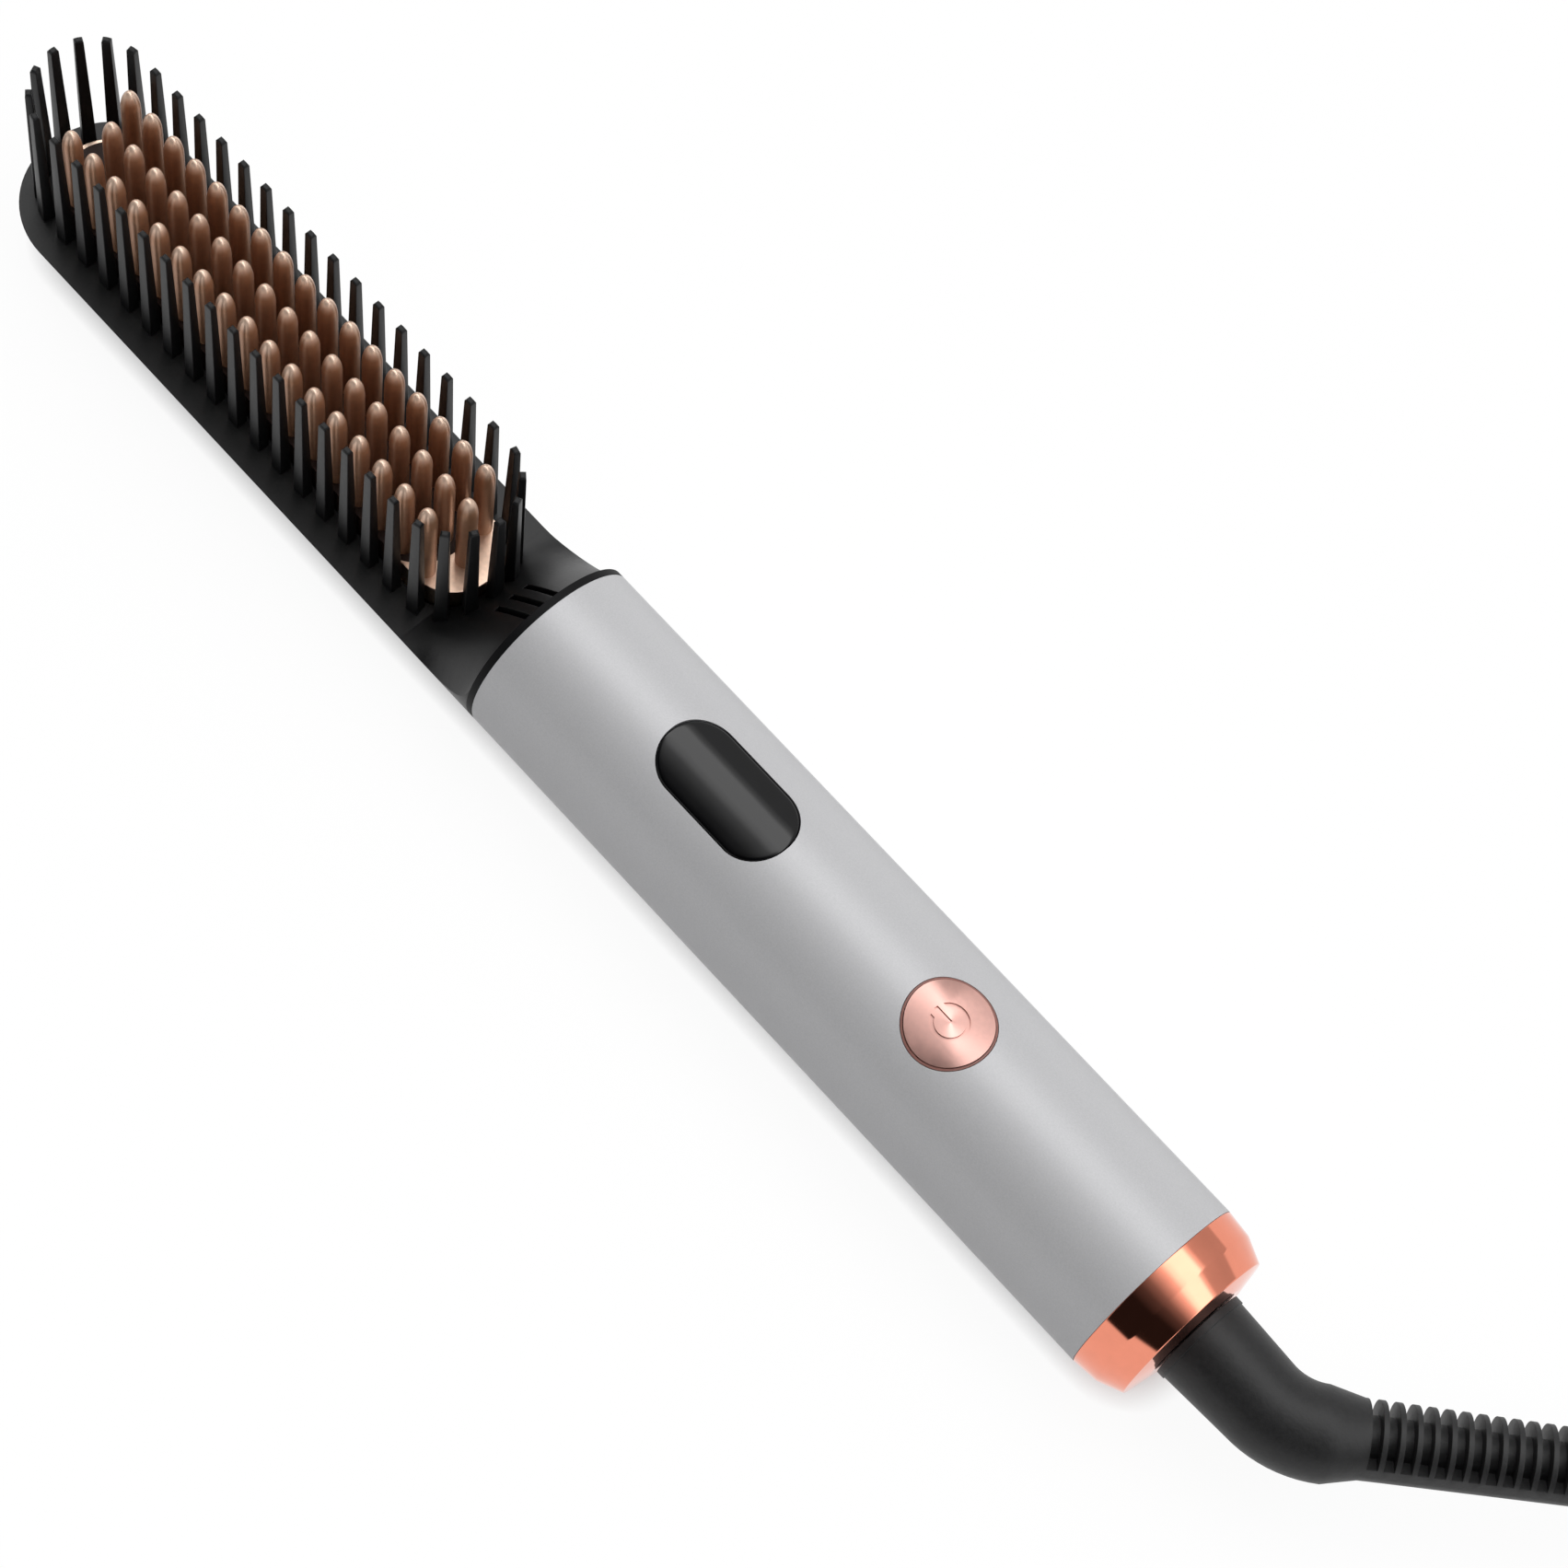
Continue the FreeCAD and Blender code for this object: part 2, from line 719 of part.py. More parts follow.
def teeth():
    """Round teeth with bullet tips, standing on the heated plate."""
    radius = size.tooth_radius.value
    dome = size.tooth_dome.value
    shoulder = size.tooth_height.value - dome
    foot = FreeCAD.Vector()
    foot_edge = FreeCAD.Vector(radius, 0, 0)
    shoulder_edge = FreeCAD.Vector(radius, 0, shoulder)
    tip = FreeCAD.Vector(0, 0, shoulder + dome)
    middle = FreeCAD.Vector(0, 0, shoulder)
    bullet = Part.Arc(Part.Ellipse(tip, shoulder_edge, middle), 0, math.pi / 2).toShape()
    outline = Part.Wire([
        Part.LineSegment(foot, foot_edge).toShape(),
        Part.LineSegment(foot_edge, shoulder_edge).toShape(),
        bullet,
        Part.LineSegment(tip, foot).toShape()])
    tooth = Part.Face(outline).revolve(FreeCAD.Vector(), FreeCAD.Vector(0, 0, 1), 360)
    pieces = []
    for x, y in tooth_places():
        piece = tooth.copy()
        piece.translate(FreeCAD.Vector(comb_x.value + x, y, plate_top.value))
        pieces.append(piece)
    return node(shaped(Part.makeCompound(pieces)), "plate_teeth")


def heated_plate():
    """Aluminium plate with a flange under the deck and a channel for the heater."""
    flange_edge = plate_radius + size.flange_margin
    body = stadium(plate_x, plate_half_length, plate_radius, parting, plate_top)
    flange = block(plate_x - plate_half_length, plate_x + plate_half_length,
                   -flange_edge, flange_edge, flange_bottom, parting)
    half_width = heater_half_width + size.heater_side_gap
    channel_end = heater_front + size.heater_side_gap
    channel = block(comb_x - channel_end, comb_x + channel_end, -half_width, half_width,
                    flange_bottom - size.overrun, plate_top - size.heater_cover)
    return node(cut(joined(body, flange), channel), "heated_plate")


heater_bottom = plate_top - size.heater_cover - size.heater_thickness
tab_x = comb_x + heater_rear + size.terminal_thickness
sensor_x = comb_x + bar_rear + size.thermistor_setback


def heater():
    """Ceramic heater against the plate, the steel bar that presses it up, and its two terminals."""
    half_width = heater_half_width
    front = comb_x - heater_front
    element = padded(rectangle(front, comb_x + heater_rear, half_width),
                     size.heater_thickness, NONE, NONE, heater_bottom)
    node(element, "heater_element")
    node(block(front, comb_x + bar_rear, -half_width, half_width, flange_bottom, heater_bottom),
         "pressure_bar")
    strips = []
    for side in (-1, 1):
        middle = size.lead_spread * side
        left = middle - size.terminal_width * 0.5
        right = middle + size.terminal_width * 0.5
        foot = block(tab_x - size.terminal_overlap, tab_x, left, right,
                     heater_bottom - size.terminal_thickness, heater_bottom)
        tab = block(tab_x - size.terminal_thickness, tab_x, left, right,
                    lead_height - size.terminal_drop, heater_bottom)
        strips.append(joined(foot, tab))
    node(group(*strips), "heater_terminals")
    node(rod(size.thermistor_radius, size.thermistor_length, sensor_x, NONE,
             heater_bottom - size.thermistor_length), "thermistor")


def heater_leads():
    """Wires from the heater and the thermistor to the underside of the circuit board."""
    landing_x = board_x + size.lead_landing
    bend = size.lead_bend.value
    leads = []
    for side in (-1, 1):
        y = size.lead_spread * side
        wire = bent_wire([point(tab_x, y, lead_height), point(landing_x, y, lead_height),
                          point(landing_x, y, board_bottom)], [bend])
        leads.append(shaped(tube_along(wire, size.lead_radius.value)))
    node(group(*leads), "heater_leads")
    bead_bottom = heater_bottom - size.thermistor_length
    drop = (bead_bottom - lead_height).value
    wire = bent_wire([point(sensor_x, NONE, bead_bottom), point(sensor_x, NONE, lead_height),
                      point(landing_x, NONE, lead_height), point(landing_x, NONE, board_bottom)],
                     [drop * LEAD_BEND_SHARE, bend])
    node(shaped(tube_along(wire, size.sensor_lead_radius.value)), "sensor_lead")
    fuse_x = collar_x - size.fuse_setback - size.fuse_length
    body = rod(size.fuse_radius, size.fuse_length, fuse_x, size.lead_spread, lead_height, ALONG_X)
    hole = rod(size.lead_radius, size.fuse_length + size.overrun * 2, fuse_x - size.overrun,
               size.lead_spread, lead_height, ALONG_X)
    node(cut(body, hole), "thermal_fuse")


# Handle

def window_prism(margin, z_from, z_to):
    """The outline of the display window, grown by a margin."""
    return rounded_block(window_x, size.window_length + margin * 2, size.window_width + margin * 2,
                         size.window_corner + margin, z_from, z_to)


button_hole_radius = size.button_radius + size.button_gap + size.button_rim + size.button_gap
handle_top = axis_height + size.handle_radius


def handle_tube():
    """Metal tube of the handle with the openings for the display and the button."""
    pipe = ring(size.handle_radius, bore_radius, size.tube_length, tube_x)
    window = window_prism(size.window_fit, axis_height, handle_top + size.overrun)
    hole = rod(button_hole_radius, size.handle_radius + size.overrun, button_x, NONE, axis_height)
    return node(cut(pipe, window, hole), "handle_tube")


def display_window():
    """Dark lens flush with the tube, held from inside by its flange."""
    lens_radius = size.handle_radius - size.lens_depth
    reach = size.window_length + size.lens_margin * 4
    start = window_x - reach * 0.5
    outer = ring(size.handle_radius, lens_radius, reach, start)
    inner = ring(bore_radius - size.window_fit, lens_radius, reach, start)
    lens = common(outer, window_prism(NONE, axis_height, handle_top + size.overrun))
    flange = common(inner, window_prism(size.lens_margin, axis_height, handle_top))
    return node(joined(lens, flange), "display_window")


boss_places = (
    window_x + size.window_length * 0.5 + size.boss_front_gap,
    button_x + sleeve_radius + size.screw_head_radius + size.boss_rear_gap)
screw_hole_radius = size.screw_radius + size.screw_gap


def screw_holes():
    """Holes of the two board screws, from above the board down past the screw tips."""
    depth = size.screw_length + size.overrun
    return [rod(screw_hole_radius, depth + size.overrun, x, NONE, board_top - depth) for x in boss_places]


def inner_chassis():
    """Half-round carrier inside the tube, with two bosses under the circuit board."""
    side = size.handle_radius
    pipe = ring(insert_radius, insert_radius - size.chassis_wall, chassis_length, chassis_x)
    lower = block(chassis_x, chassis_x + chassis_length, -side, side, NONE, board_bottom)
    floor = axis_height - insert_radius + size.chassis_wall * 0.5
    bosses = [rod(size.boss_radius, board_bottom - floor, x, NONE, floor) for x in boss_places]
    return node(cut(joined(common(pipe, lower), *bosses), *screw_holes()), "inner_chassis")


def circuit_board():
    """Circuit board on the chassis edges, with its two screws."""
    outline = rectangle(board_x, board_x + board_length, board_half_width)
    board = padded(outline, size.board_thickness, NONE, NONE, board_bottom)
    node(cut(board, *screw_holes()), "circuit_board")
    screws = []
    for x in boss_places:
        shank = rod(size.screw_radius, size.screw_length, x, NONE, board_top - size.screw_length)
        head = rod(size.screw_head_radius, size.screw_head_height, x, NONE, board_top)
        screws.append(joined(shank, head))
    node(group(*screws), "board_screws")


def board_parts():
    """The larger parts on the board: display, controller, triac, filter capacitor and fuse."""
    half_length = size.display_length * 0.5
    half_width = size.display_width * 0.5
    node(block(window_x - half_length, window_x + half_length, -half_width, half_width,
               board_top, board_top + size.display_height), "display_module")
    chip_x = board_x + size.chip_setback
    half_chip = size.chip_side * 0.5
    node(block(chip_x, chip_x + size.chip_side, -half_chip, half_chip,
               board_top, board_top + size.chip_height), "controller_chip")
    triac_x = button_x - size.triac_setback
    half_triac = size.triac_width * 0.5
    offset = board_half_width * BOARD_PART_SHARE
    node(block(triac_x, triac_x + size.triac_length, -offset - half_triac, half_triac - offset,
               board_bottom - size.triac_height, board_bottom), "triac")
    node(rod(size.capacitor_radius, size.capacitor_length, triac_x, offset,
             board_bottom - size.capacitor_radius, ALONG_X), "filter_capacitor")
    node(rod(size.fuse_tube_radius, size.fuse_tube_length, button_x - size.fuse_tube_setback,
             -offset, board_bottom - size.fuse_tube_radius, ALONG_X), "board_fuse")


def button_guide():
    """Black sleeve on the board that guides the button; its lip shows as a thin ring round it."""
    sleeve = rod(sleeve_radius, shelf_top - board_top, button_x, NONE, board_top)
    lip_radius = size.button_radius + size.button_gap + size.button_rim
    lip = common(rod(lip_radius, size.handle_radius, button_x, NONE, board_top),
                 rod(size.handle_radius, lip_radius * 4, button_x - lip_radius * 2, NONE, axis_height,
                     ALONG_X))
    flange_space = rod(sleeve_bore, shelf_bottom - board_bottom, button_x, NONE, board_bottom)
    bore = rod(size.button_radius + size.button_gap, size.handle_radius, button_x, NONE, board_bottom)
    return node(cut(joined(sleeve, lip), flange_space, bore), "button_guide")


def power_button():
    """Pressed metal button with a stem. Its face follows the tube, and the power sign is sunk into it."""
    top = handle_top + size.button_proud
    reach = size.button_radius * 4
    face_radius = size.handle_radius + size.button_proud
    floor_radius = face_radius - size.symbol_depth
    face = rod(face_radius, reach, button_x - reach * 0.5, NONE, axis_height, ALONG_X)
    sign_floor = rod(floor_radius, reach, button_x - reach * 0.5, NONE, axis_height, ALONG_X)
    outline = [
        (stem_foot, NONE), (stem_foot, size.button_stem_radius), (flange_foot, size.button_stem_radius),
        (flange_foot, button_flange_radius), (shoulder, button_flange_radius),
        (shoulder, size.button_radius), (top, size.button_radius), (top, NONE)]
    button = common(turned(outline, button_x, NONE, NONE, STANDING), face)
    half_width = size.symbol_width * 0.5
    sign_z = axis_height + chord_half(floor_radius, size.symbol_radius + half_width) - size.overrun
    depth = top - sign_z + size.overrun
    half_opening = size.symbol_opening * 0.5
    circle = cut(rod(size.symbol_radius + half_width, depth, button_x, NONE, sign_z),
                 rod(size.symbol_radius - half_width, depth, button_x, NONE, sign_z),
                 block(button_x - size.symbol_radius * 2, button_x, -half_opening, half_opening,
                       sign_z, sign_z + depth))
    arc = cut(circle, sign_floor)
    bar_x = button_x - size.symbol_radius - half_width
    bar = cut(block(bar_x, bar_x + size.symbol_bar, -half_width, half_width, sign_z, sign_z + depth),
              sign_floor)
    return node(cut(button, arc, bar), "power_button")


def switch():
    """Push switch on the board: a square housing and the plunger that the button presses."""
    half = size.switch_side * 0.5
    body = block(button_x - half, button_x + half, -half, half, board_top, board_top + size.switch_height)
    well = rod(size.plunger_radius + size.plunger_gap, size.switch_height + size.overrun,
               button_x, NONE, board_top)
    node(cut(body, well), "switch_housing")
    node(rod(size.plunger_radius, size.plunger_length, button_x, NONE, plunger_bottom), "switch_plunger")


# Tail of the handle

stem_bore = size.stem_radius + size.running_gap
cup_bottom_x = socket_x + size.socket_cup_depth
stem_x = cup_bottom_x - size.stem_reach
nose_x = stem_x - size.stem_nose_length
clip_x = cup_bottom_x - size.clip_gap - size.clip_thickness
groove_radius = size.stem_radius - size.clip_inset
cap_bore_radius = size.handle_radius - size.cap_wall


def swivel_socket():
    """Bearing block in the tube's end, whose hub carries the tail cap and whose bore the strain relief."""
    length = size.socket_length
    hub_radius = cap_bore_radius - size.hub_gap
    hub_end = length + size.hub_length
    outline = [
        (NONE, size.socket_cup_radius), (NONE, insert_radius), (length, insert_radius),
        (length, hub_radius), (hub_end, hub_radius), (hub_end, stem_bore),
        (size.socket_cup_depth, stem_bore), (size.socket_cup_depth, size.socket_cup_radius)]
    return node(turned(outline, socket_x, NONE, axis_height), "swivel_socket")


def tail_cap():
    """Polished metal cap that closes the handle round the strain relief."""
    round_end = size.cap_straight + size.cap_round
    flat_radius = size.relief_flange_radius + size.cap_flat_margin
    outline = [
        (NONE, cap_bore_radius), (NONE, size.handle_radius),
        (size.cap_straight, size.handle_radius - size.cap_taper),
        (round_end, size.handle_radius - size.cap_shoulder),
        (size.cap_length, flat_radius), (size.cap_length, size.cap_hole_radius),
        (size.cap_bore_depth, size.cap_hole_radius), (size.cap_bore_depth, cap_bore_radius)]
    return node(turned(outline, cap_x, NONE, axis_height), "tail_cap")


def ring_start(index):
    return nose_x + size.ring_setback + size.ring_pitch * index


def contacts():
    """Slip-ring contacts of the swivel: rings on the stem's nose and a spring brush for each."""
    rings = [ring(size.ring_radius, size.stem_nose_radius, size.ring_width, ring_start(index))
             for index in (0, 1)]
    node(group(*rings), "contact_rings")
    tip_from = size.ring_radius + size.brush_gap
    arm_from = tip_from + size.brush_tip
    lead_level = board_bottom - size.mains_lead_leg
    low = axis_height - size.brush_half_height
    high = axis_height + size.brush_half_height
    arm_low = lower_of(low, lead_level - size.brush_half_height)
    arm_high = higher_of(high, lead_level + size.brush_half_height)
    arm_reach = higher_of(axis_height - arm_low, arm_high - axis_height)
    arm_to = chord_half(size.socket_cup_radius, arm_reach) - size.running_gap
    front = socket_x - size.brush_reach
    landing_x = board_x + board_length - size.mains_landing
    brushes = []
    leads = []
    for index, side in ((0, -1), (1, 1)):
        ring_end = ring_start(index) + size.ring_width
        arm_edges = sorted((arm_from * side, arm_to * side), key=value_of)
        tip_edges = sorted((tip_from * side, arm_from * side), key=value_of)
        arm = block(front, ring_end, *arm_edges, arm_low, arm_high)
        tip = block(ring_start(index), ring_end, *tip_edges, low, high)
        brushes.append(joined(arm, tip))
        y = (arm_from + arm_to) * 0.5 * side
        wire = bent_wire([point(front, y, lead_level), point(landing_x, y, lead_level),
                          point(landing_x, y, board_bottom)], [size.mains_lead_bend.value])
        leads.append(shaped(tube_along(wire, size.mains_lead_radius.value)))
    node(group(*brushes), "contact_brushes")
    node(group(*leads), "mains_leads")


def swivel_clip():
    """Retaining clip in the stem's groove, which keeps the strain relief in its socket."""
    return node(ring(size.clip_radius, groove_radius, size.clip_thickness, clip_x), "swivel_clip")


# Strain relief

vertex_x = tail_x + size.relief_straight
relief_turn = math.radians(RELIEF_TURN)
bend_reach = size.relief_bend.value * math.tan(relief_turn / 2)
rib_length = size.rib_pitch.value * RIB_COUNT + size.rib_tail.value
relief_heading = FreeCAD.Rotation(FreeCAD.Vector(0, 0, 1), RELIEF_TURN)
AXIS_DIRECTION = FreeCAD.Vector(1, 0, 0)


def spun(points):
    """A solid turned about the X axis from (along, out) corners."""
    corners = [FreeCAD.Vector(along, 0, out) for along, out in points]
    outline = Part.makePolygon(corners + corners[:1])
    return Part.Face(outline).revolve(FreeCAD.Vector(), AXIS_DIRECTION, 360)


def relief_root():
    """Stem inside the handle, flange on the tail cap and the straight part of the strain relief."""
    flange_start = tail_x + size.relief_gap
    flange_end = flange_start + size.relief_flange
    stem = size.stem_radius.value
    nose = size.stem_nose_radius.value
    groove = groove_radius.value
    clip_end = (clip_x + size.clip_thickness).value
    outline = [
        (nose_x.value, 0), (nose_x.value, nose), (stem_x.value, nose), (stem_x.value, stem),
        (clip_x.value, stem), (clip_x.value, groove), (clip_end, groove), (clip_end, stem),
        (flange_start.value, stem), (flange_start.value, size.relief_flange_radius.value),
        (flange_end.value, size.relief_flange_radius.value),
        (flange_end.value, size.relief_root_radius.value),
        (vertex_x.value - bend_reach, size.relief_bend_radius.value), (vertex_x.value - bend_reach, 0)]
    root = spun(outline)
    root.translate(FreeCAD.Vector(0, 0, axis_height.value))
    return root


def relief_elbow():
    """The bend of the strain relief, towards the side."""
    start = FreeCAD.Vector(vertex_x.value - bend_reach, 0, axis_height.value)
    pivot = start + FreeCAD.Vector(0, size.relief_bend.value, 0)
    circle = Part.Circle(start, AXIS_DIRECTION, size.relief_bend_radius.value)
    face = Part.Face(Part.Wire(circle.toShape()))
    return face.revolve(pivot, FreeCAD.Vector(0, 0, 1), RELIEF_TURN)


def relief_ribs():
    """The tapering ribbed end: ring grooves that leave a spine on the outside of the bend."""
    taper_end = size.relief_taper.value
    root = size.rib_root_radius.value
    tip = size.rib_tip_radius.value
    end = taper_end + rib_length
    tail = spun([(bend_reach, 0), (bend_reach, size.relief_bend_radius.value), (taper_end, root),
                 (end, tip), (end, 0)])
    grooves = []
    for index in range(RIB_COUNT):
        middle = (index + 0.5) * size.rib_pitch.value
        bottom = root + (tip - root) * middle / rib_length - size.rib_depth.value
        from_x = taper_end + middle - size.rib_groove.value / 2
        to_x = from_x + size.rib_groove.value
        top = root + size.overrun.value
        corners = [FreeCAD.Vector(from_x, -bottom, 0), FreeCAD.Vector(to_x, -bottom, 0),
                   FreeCAD.Vector(to_x, -top, 0), FreeCAD.Vector(from_x, -top, 0)]
        face = Part.Face(Part.makePolygon(corners + corners[:1]))
        face.rotate(FreeCAD.Vector(), AXIS_DIRECTION, RIB_SPINE / 2)
        grooves.append(face.revolve(FreeCAD.Vector(), AXIS_DIRECTION, 360 - RIB_SPINE))
    ribbed = tail.cut(grooves)
    ribbed.Placement = FreeCAD.Placement(point(vertex_x, NONE, axis_height), relief_heading)
    return ribbed


def strain_relief():
    """One rubber moulding, turning in the socket."""
    whole = relief_root().fuse([relief_elbow(), relief_ribs()]).removeSplitter()
    return node(shaped(whole), "strain_relief")


# Mains cord, its put-away coil and the plug

relief_end = point(vertex_x, NONE, axis_height) + relief_heading.multVec(
    FreeCAD.Vector(size.relief_taper.value + rib_length, 0, 0))
cord_diameter = size.cord_radius * 2
coil_top = size.cord_radius.value + size.coil_pitch.value * (COIL_LAYERS - 1)


def cord_bends(points):
    """The largest bend radius that the two runs at each inner point of a cord's route leave room for."""
    bends = []
    for before, corner, after in zip(points, points[1:], points[2:]):
        arrive = corner - before
        leave = after - corner
        shorter = min(arrive.Length, leave.Length)
        bends.append(CORD_BEND_SHARE * shorter / math.tan(arrive.getAngle(leave) / 2))
    print("cord bend radii:", ", ".join("%.1f" % bend for bend in bends))
    return bends


def cord_stretch(points, label):
    wire = bent_wire(points, cord_bends(points))
    print("%s length %.1f" % (label, wire.Length))
    return node(shaped(tube_along(wire, size.cord_radius.value)), label)


def mains_cord():
    """The free stretch, from the strain relief up to the top layer of the coil."""
    climb = coil_top - relief_end.z
    route = [relief_end + FreeCAD.Vector(along, across, rise_share * climb)
             for along, across, rise_share in CORD_ROUTE]
    cord_stretch(route, "mains_cord")
    return route[-1], (route[-1] - route[-2]).normalize()


def coil_station(step):
    """Place and heading of the coil's centreline after a number of quarter-turn steps."""
    angle = 2 * math.pi * COIL_TURNS * step / COIL_STEPS
    steps_per_layer = COIL_STEPS // COIL_LAYERS
    layer = round(step / steps_per_layer) if step % steps_per_layer == 0 else step / steps_per_layer
    swing = 2 * math.pi * COIL_TURNS / COIL_LAYERS * size.coil_pitch.value / (2 * math.pi)
    drift = size.coil_pitch.value / (2 * math.pi)
    inward = int(layer) % 2 == 0
    within = layer - int(layer)
    depth = within if inward else 1 - within
    radius = size.coil_mean_radius.value + swing * (0.5 - depth)
    reversing = within == 0
    radial_rate = 0 if reversing else (-drift if inward else drift)
    climbing = reversing and 0 < step < COIL_STEPS
    level = coil_top - size.coil_pitch.value * (int(layer) - (0.5 if climbing else 0))
    if step == COIL_STEPS:
        level += size.coil_pitch.value
    climb_rate = -size.coil_pitch.value / math.pi if climbing else 0
    place_on_coil = FreeCAD.Vector(radius * math.sin(angle), radius * math.cos(angle), level)
    heading = FreeCAD.Vector(
        radius * math.cos(angle) + radial_rate * math.sin(angle),
        radial_rate * math.cos(angle) - radius * math.sin(angle), climb_rate).normalize()
    return place_on_coil, heading


def arc_leaving(start, heading, end):
    """The arc from start to end that leaves start along heading."""
    chord = end - start
    along = FreeCAD.Vector(chord).normalize()
    bulge = (heading - along * heading.dot(along)).normalize()
    rise = chord.Length / 2 * math.tan(heading.getAngle(along) / 2)
    return Part.Arc(start, start + chord / 2 + bulge * rise, end).toShape()


def biarc(start, start_heading, end, end_heading):
    """Two tangent arcs between two places with given headings."""
    chord = end - start
    square = 2 * (start_heading.dot(end_heading) - 1)
    linear = -2 * chord.dot(start_heading + end_heading)
    constant = chord.dot(chord)
    reach = (-linear - math.sqrt(linear ** 2 - 4 * square * constant)) / (2 * square)
    meeting = (start + end) / 2 + (start_heading - end_heading) * (reach / 2)
    return [arc_leaving(start, start_heading, meeting), arc_leaving(end, -end_heading, meeting)]


def least_gap(wire):
    """Least clear gap between turns of a tube along this wire, measured on points."""
    spacing = size.cord_radius.value * GAP_STEP_SHARE
    points = wire.discretize(Distance=spacing)
    apart = int(COIL_NEIGHBOUR_SHARE * 2 * math.pi * size.coil_mean_radius.value / spacing)
    least = min(points[first].distanceToPoint(points[second])
                for first in range(len(points))
                for second in range(first + apart, len(points)))
    return least - cord_diameter.value


def cord_coil(start, heading):
    """The put-away length: one unbroken tube that spirals in and out, layer under layer."""
    stations = [coil_station(step) for step in range(COIL_STEPS + 1)]
    edges = []
    for (here, here_heading), (there, there_heading) in zip(stations, stations[1:]):
        edges += biarc(here, here_heading, there, there_heading)
    straight = cord_diameter.value
    first_place, first_heading = stations[0]
    last_place, last_heading = stations[-1]
    entry = first_place - first_heading * straight
    leaving = last_place + last_heading * straight
    edges.insert(0, Part.LineSegment(entry, first_place).toShape())
    edges.append(Part.LineSegment(last_place, leaving).toShape())
    wire = Part.Wire(Part.__sortEdges__(edges))
    print("cord_coil length %.1f, least gap %.2f" % (wire.Length, least_gap(wire)))
    turn = FreeCAD.Rotation(first_heading, heading)
    placement = FreeCAD.Placement(start - turn.multVec(entry), turn)
    item = shaped(tube_along(wire, size.cord_radius.value))
    item.Placement = placement
    node(item, "cord_coil")
    return placement.multVec(leaving), turn.multVec(last_heading)


def plug_tail(start, heading):
    """The last stretch of cord, which rises from the coil to the middle of the plug."""
    climb = (size.plug_thickness / 2 - size.cord_radius).value
    route = [start + heading * along + FreeCAD.Vector(0, 0, rise_share * climb)
             for along, rise_share in PLUG_TAIL_ROUTE]
    cord_stretch(route, "plug_tail")
    return route[-1]


def oval_section(x, width, thickness):
    """A flat oval across the plug, of two straight sides and four quarter arcs."""
    radius = thickness / 2
    flat = width / 2 - radius
    slant = radius * math.sqrt(0.5)
    edges = []
    for side in (1, -1):
        low = FreeCAD.Vector(x, side * flat, -side * radius)
        outer = FreeCAD.Vector(x, side * (flat + radius), 0)
        high = FreeCAD.Vector(x, side * flat, side * radius)
        across = FreeCAD.Vector(x, -side * flat, side * radius)
        lower = FreeCAD.Vector(x, side * (flat + slant), -side * slant)
        upper = FreeCAD.Vector(x, side * (flat + slant), side * slant)
        edges.append(Part.Arc(low, lower, outer).toShape())
        edges.append(Part.Arc(outer, upper, high).toShape())
        edges.append(Part.LineSegment(high, across).toShape())
    return Part.Wire(edges)


def plug(start, heading):
    """Flat two-pin plug: moulded body with its neck, brass pins and the sleeves round their roots."""
    turn = FreeCAD.Rotation(AXIS_DIRECTION, heading)
    placement = FreeCAD.Placement(start, turn)
    neck = size.plug_neck_length.value
    face_x = neck + size.plug_length.value
    sections = []
    for along_share, width_share, thickness_share in PLUG_SHARES:
        sections.append(oval_section(neck + along_share * size.plug_length.value,
                                     width_share * size.plug_width.value,
                                     thickness_share * size.plug_thickness.value))
    root = size.plug_neck_radius.value
    neck_start = PLUG_NECK_SHARE * root
    grip = spun([(0, 0), (0, neck_start), (neck, root), (neck + root, root), (neck + root, 0)])
    body = grip.fuse(Part.makeLoft(sections, True, True))
    pins = []
    sleeves = []
    holes = []
    core = size.core_radius.value
    sleeve_end = face_x + size.sleeve_length.value
    pin_end = face_x + size.pin_length.value
    pin = size.pin_radius.value
    tip = pin * PIN_TIP_SHARE
    core_start = face_x - size.pin_root.value
    for side in (-1, 1):
        offset = FreeCAD.Vector(0, side * size.pin_spacing.value / 2, 0)
        blade = spun([(core_start, 0), (core_start, core), (sleeve_end, core), (sleeve_end, pin),
                      (pin_end - tip, pin), (pin_end, pin - tip), (pin_end, 0)])
        sleeve = spun([(face_x, core), (face_x, size.sleeve_radius.value),
                       (sleeve_end, size.sleeve_radius.value), (sleeve_end, core)])
        hole = spun([(core_start, 0), (core_start, core), (pin_end, core), (pin_end, 0)])
        for shape, shapes in ((blade, pins), (sleeve, sleeves), (hole, holes)):
            shape.translate(offset)
            shapes.append(shape)
    for shape, label in ((body.cut(holes), "plug_body"), (Part.makeCompound(pins), "plug_pins"),
                         (Part.makeCompound(sleeves), "pin_sleeves")):
        item = node(shaped(shape), label)
        item.Placement = placement


comb_housing()
bristles()
back_shell()
collar_ring()
heated_plate()
teeth()
heater()
heater_leads()
handle_tube()
display_window()
inner_chassis()
circuit_board()
board_parts()
button_guide()
power_button()
switch()
swivel_socket()
tail_cap()
contacts()
swivel_clip()
strain_relief()
coil_start, coil_heading = mains_cord()
tail_start, tail_heading = cord_coil(coil_start, coil_heading)
plug_start = plug_tail(tail_start, tail_heading)
plug(plug_start, tail_heading)
document.recompute()

faults = [item.Label for item in document.Objects if {"Invalid", "Error"} & set(item.State)]
faults += [item.Label for item in NODES if item.Shape.isNull() or not item.Shape.isValid()]
if faults:
    raise ValueError("failed objects: %s" % ", ".join(faults))
os.makedirs("parts", exist_ok=True)
for item in NODES:
    item.Shape.exportStep("parts/%s.step" % item.Label)
print("%d nodes written" % len(NODES))
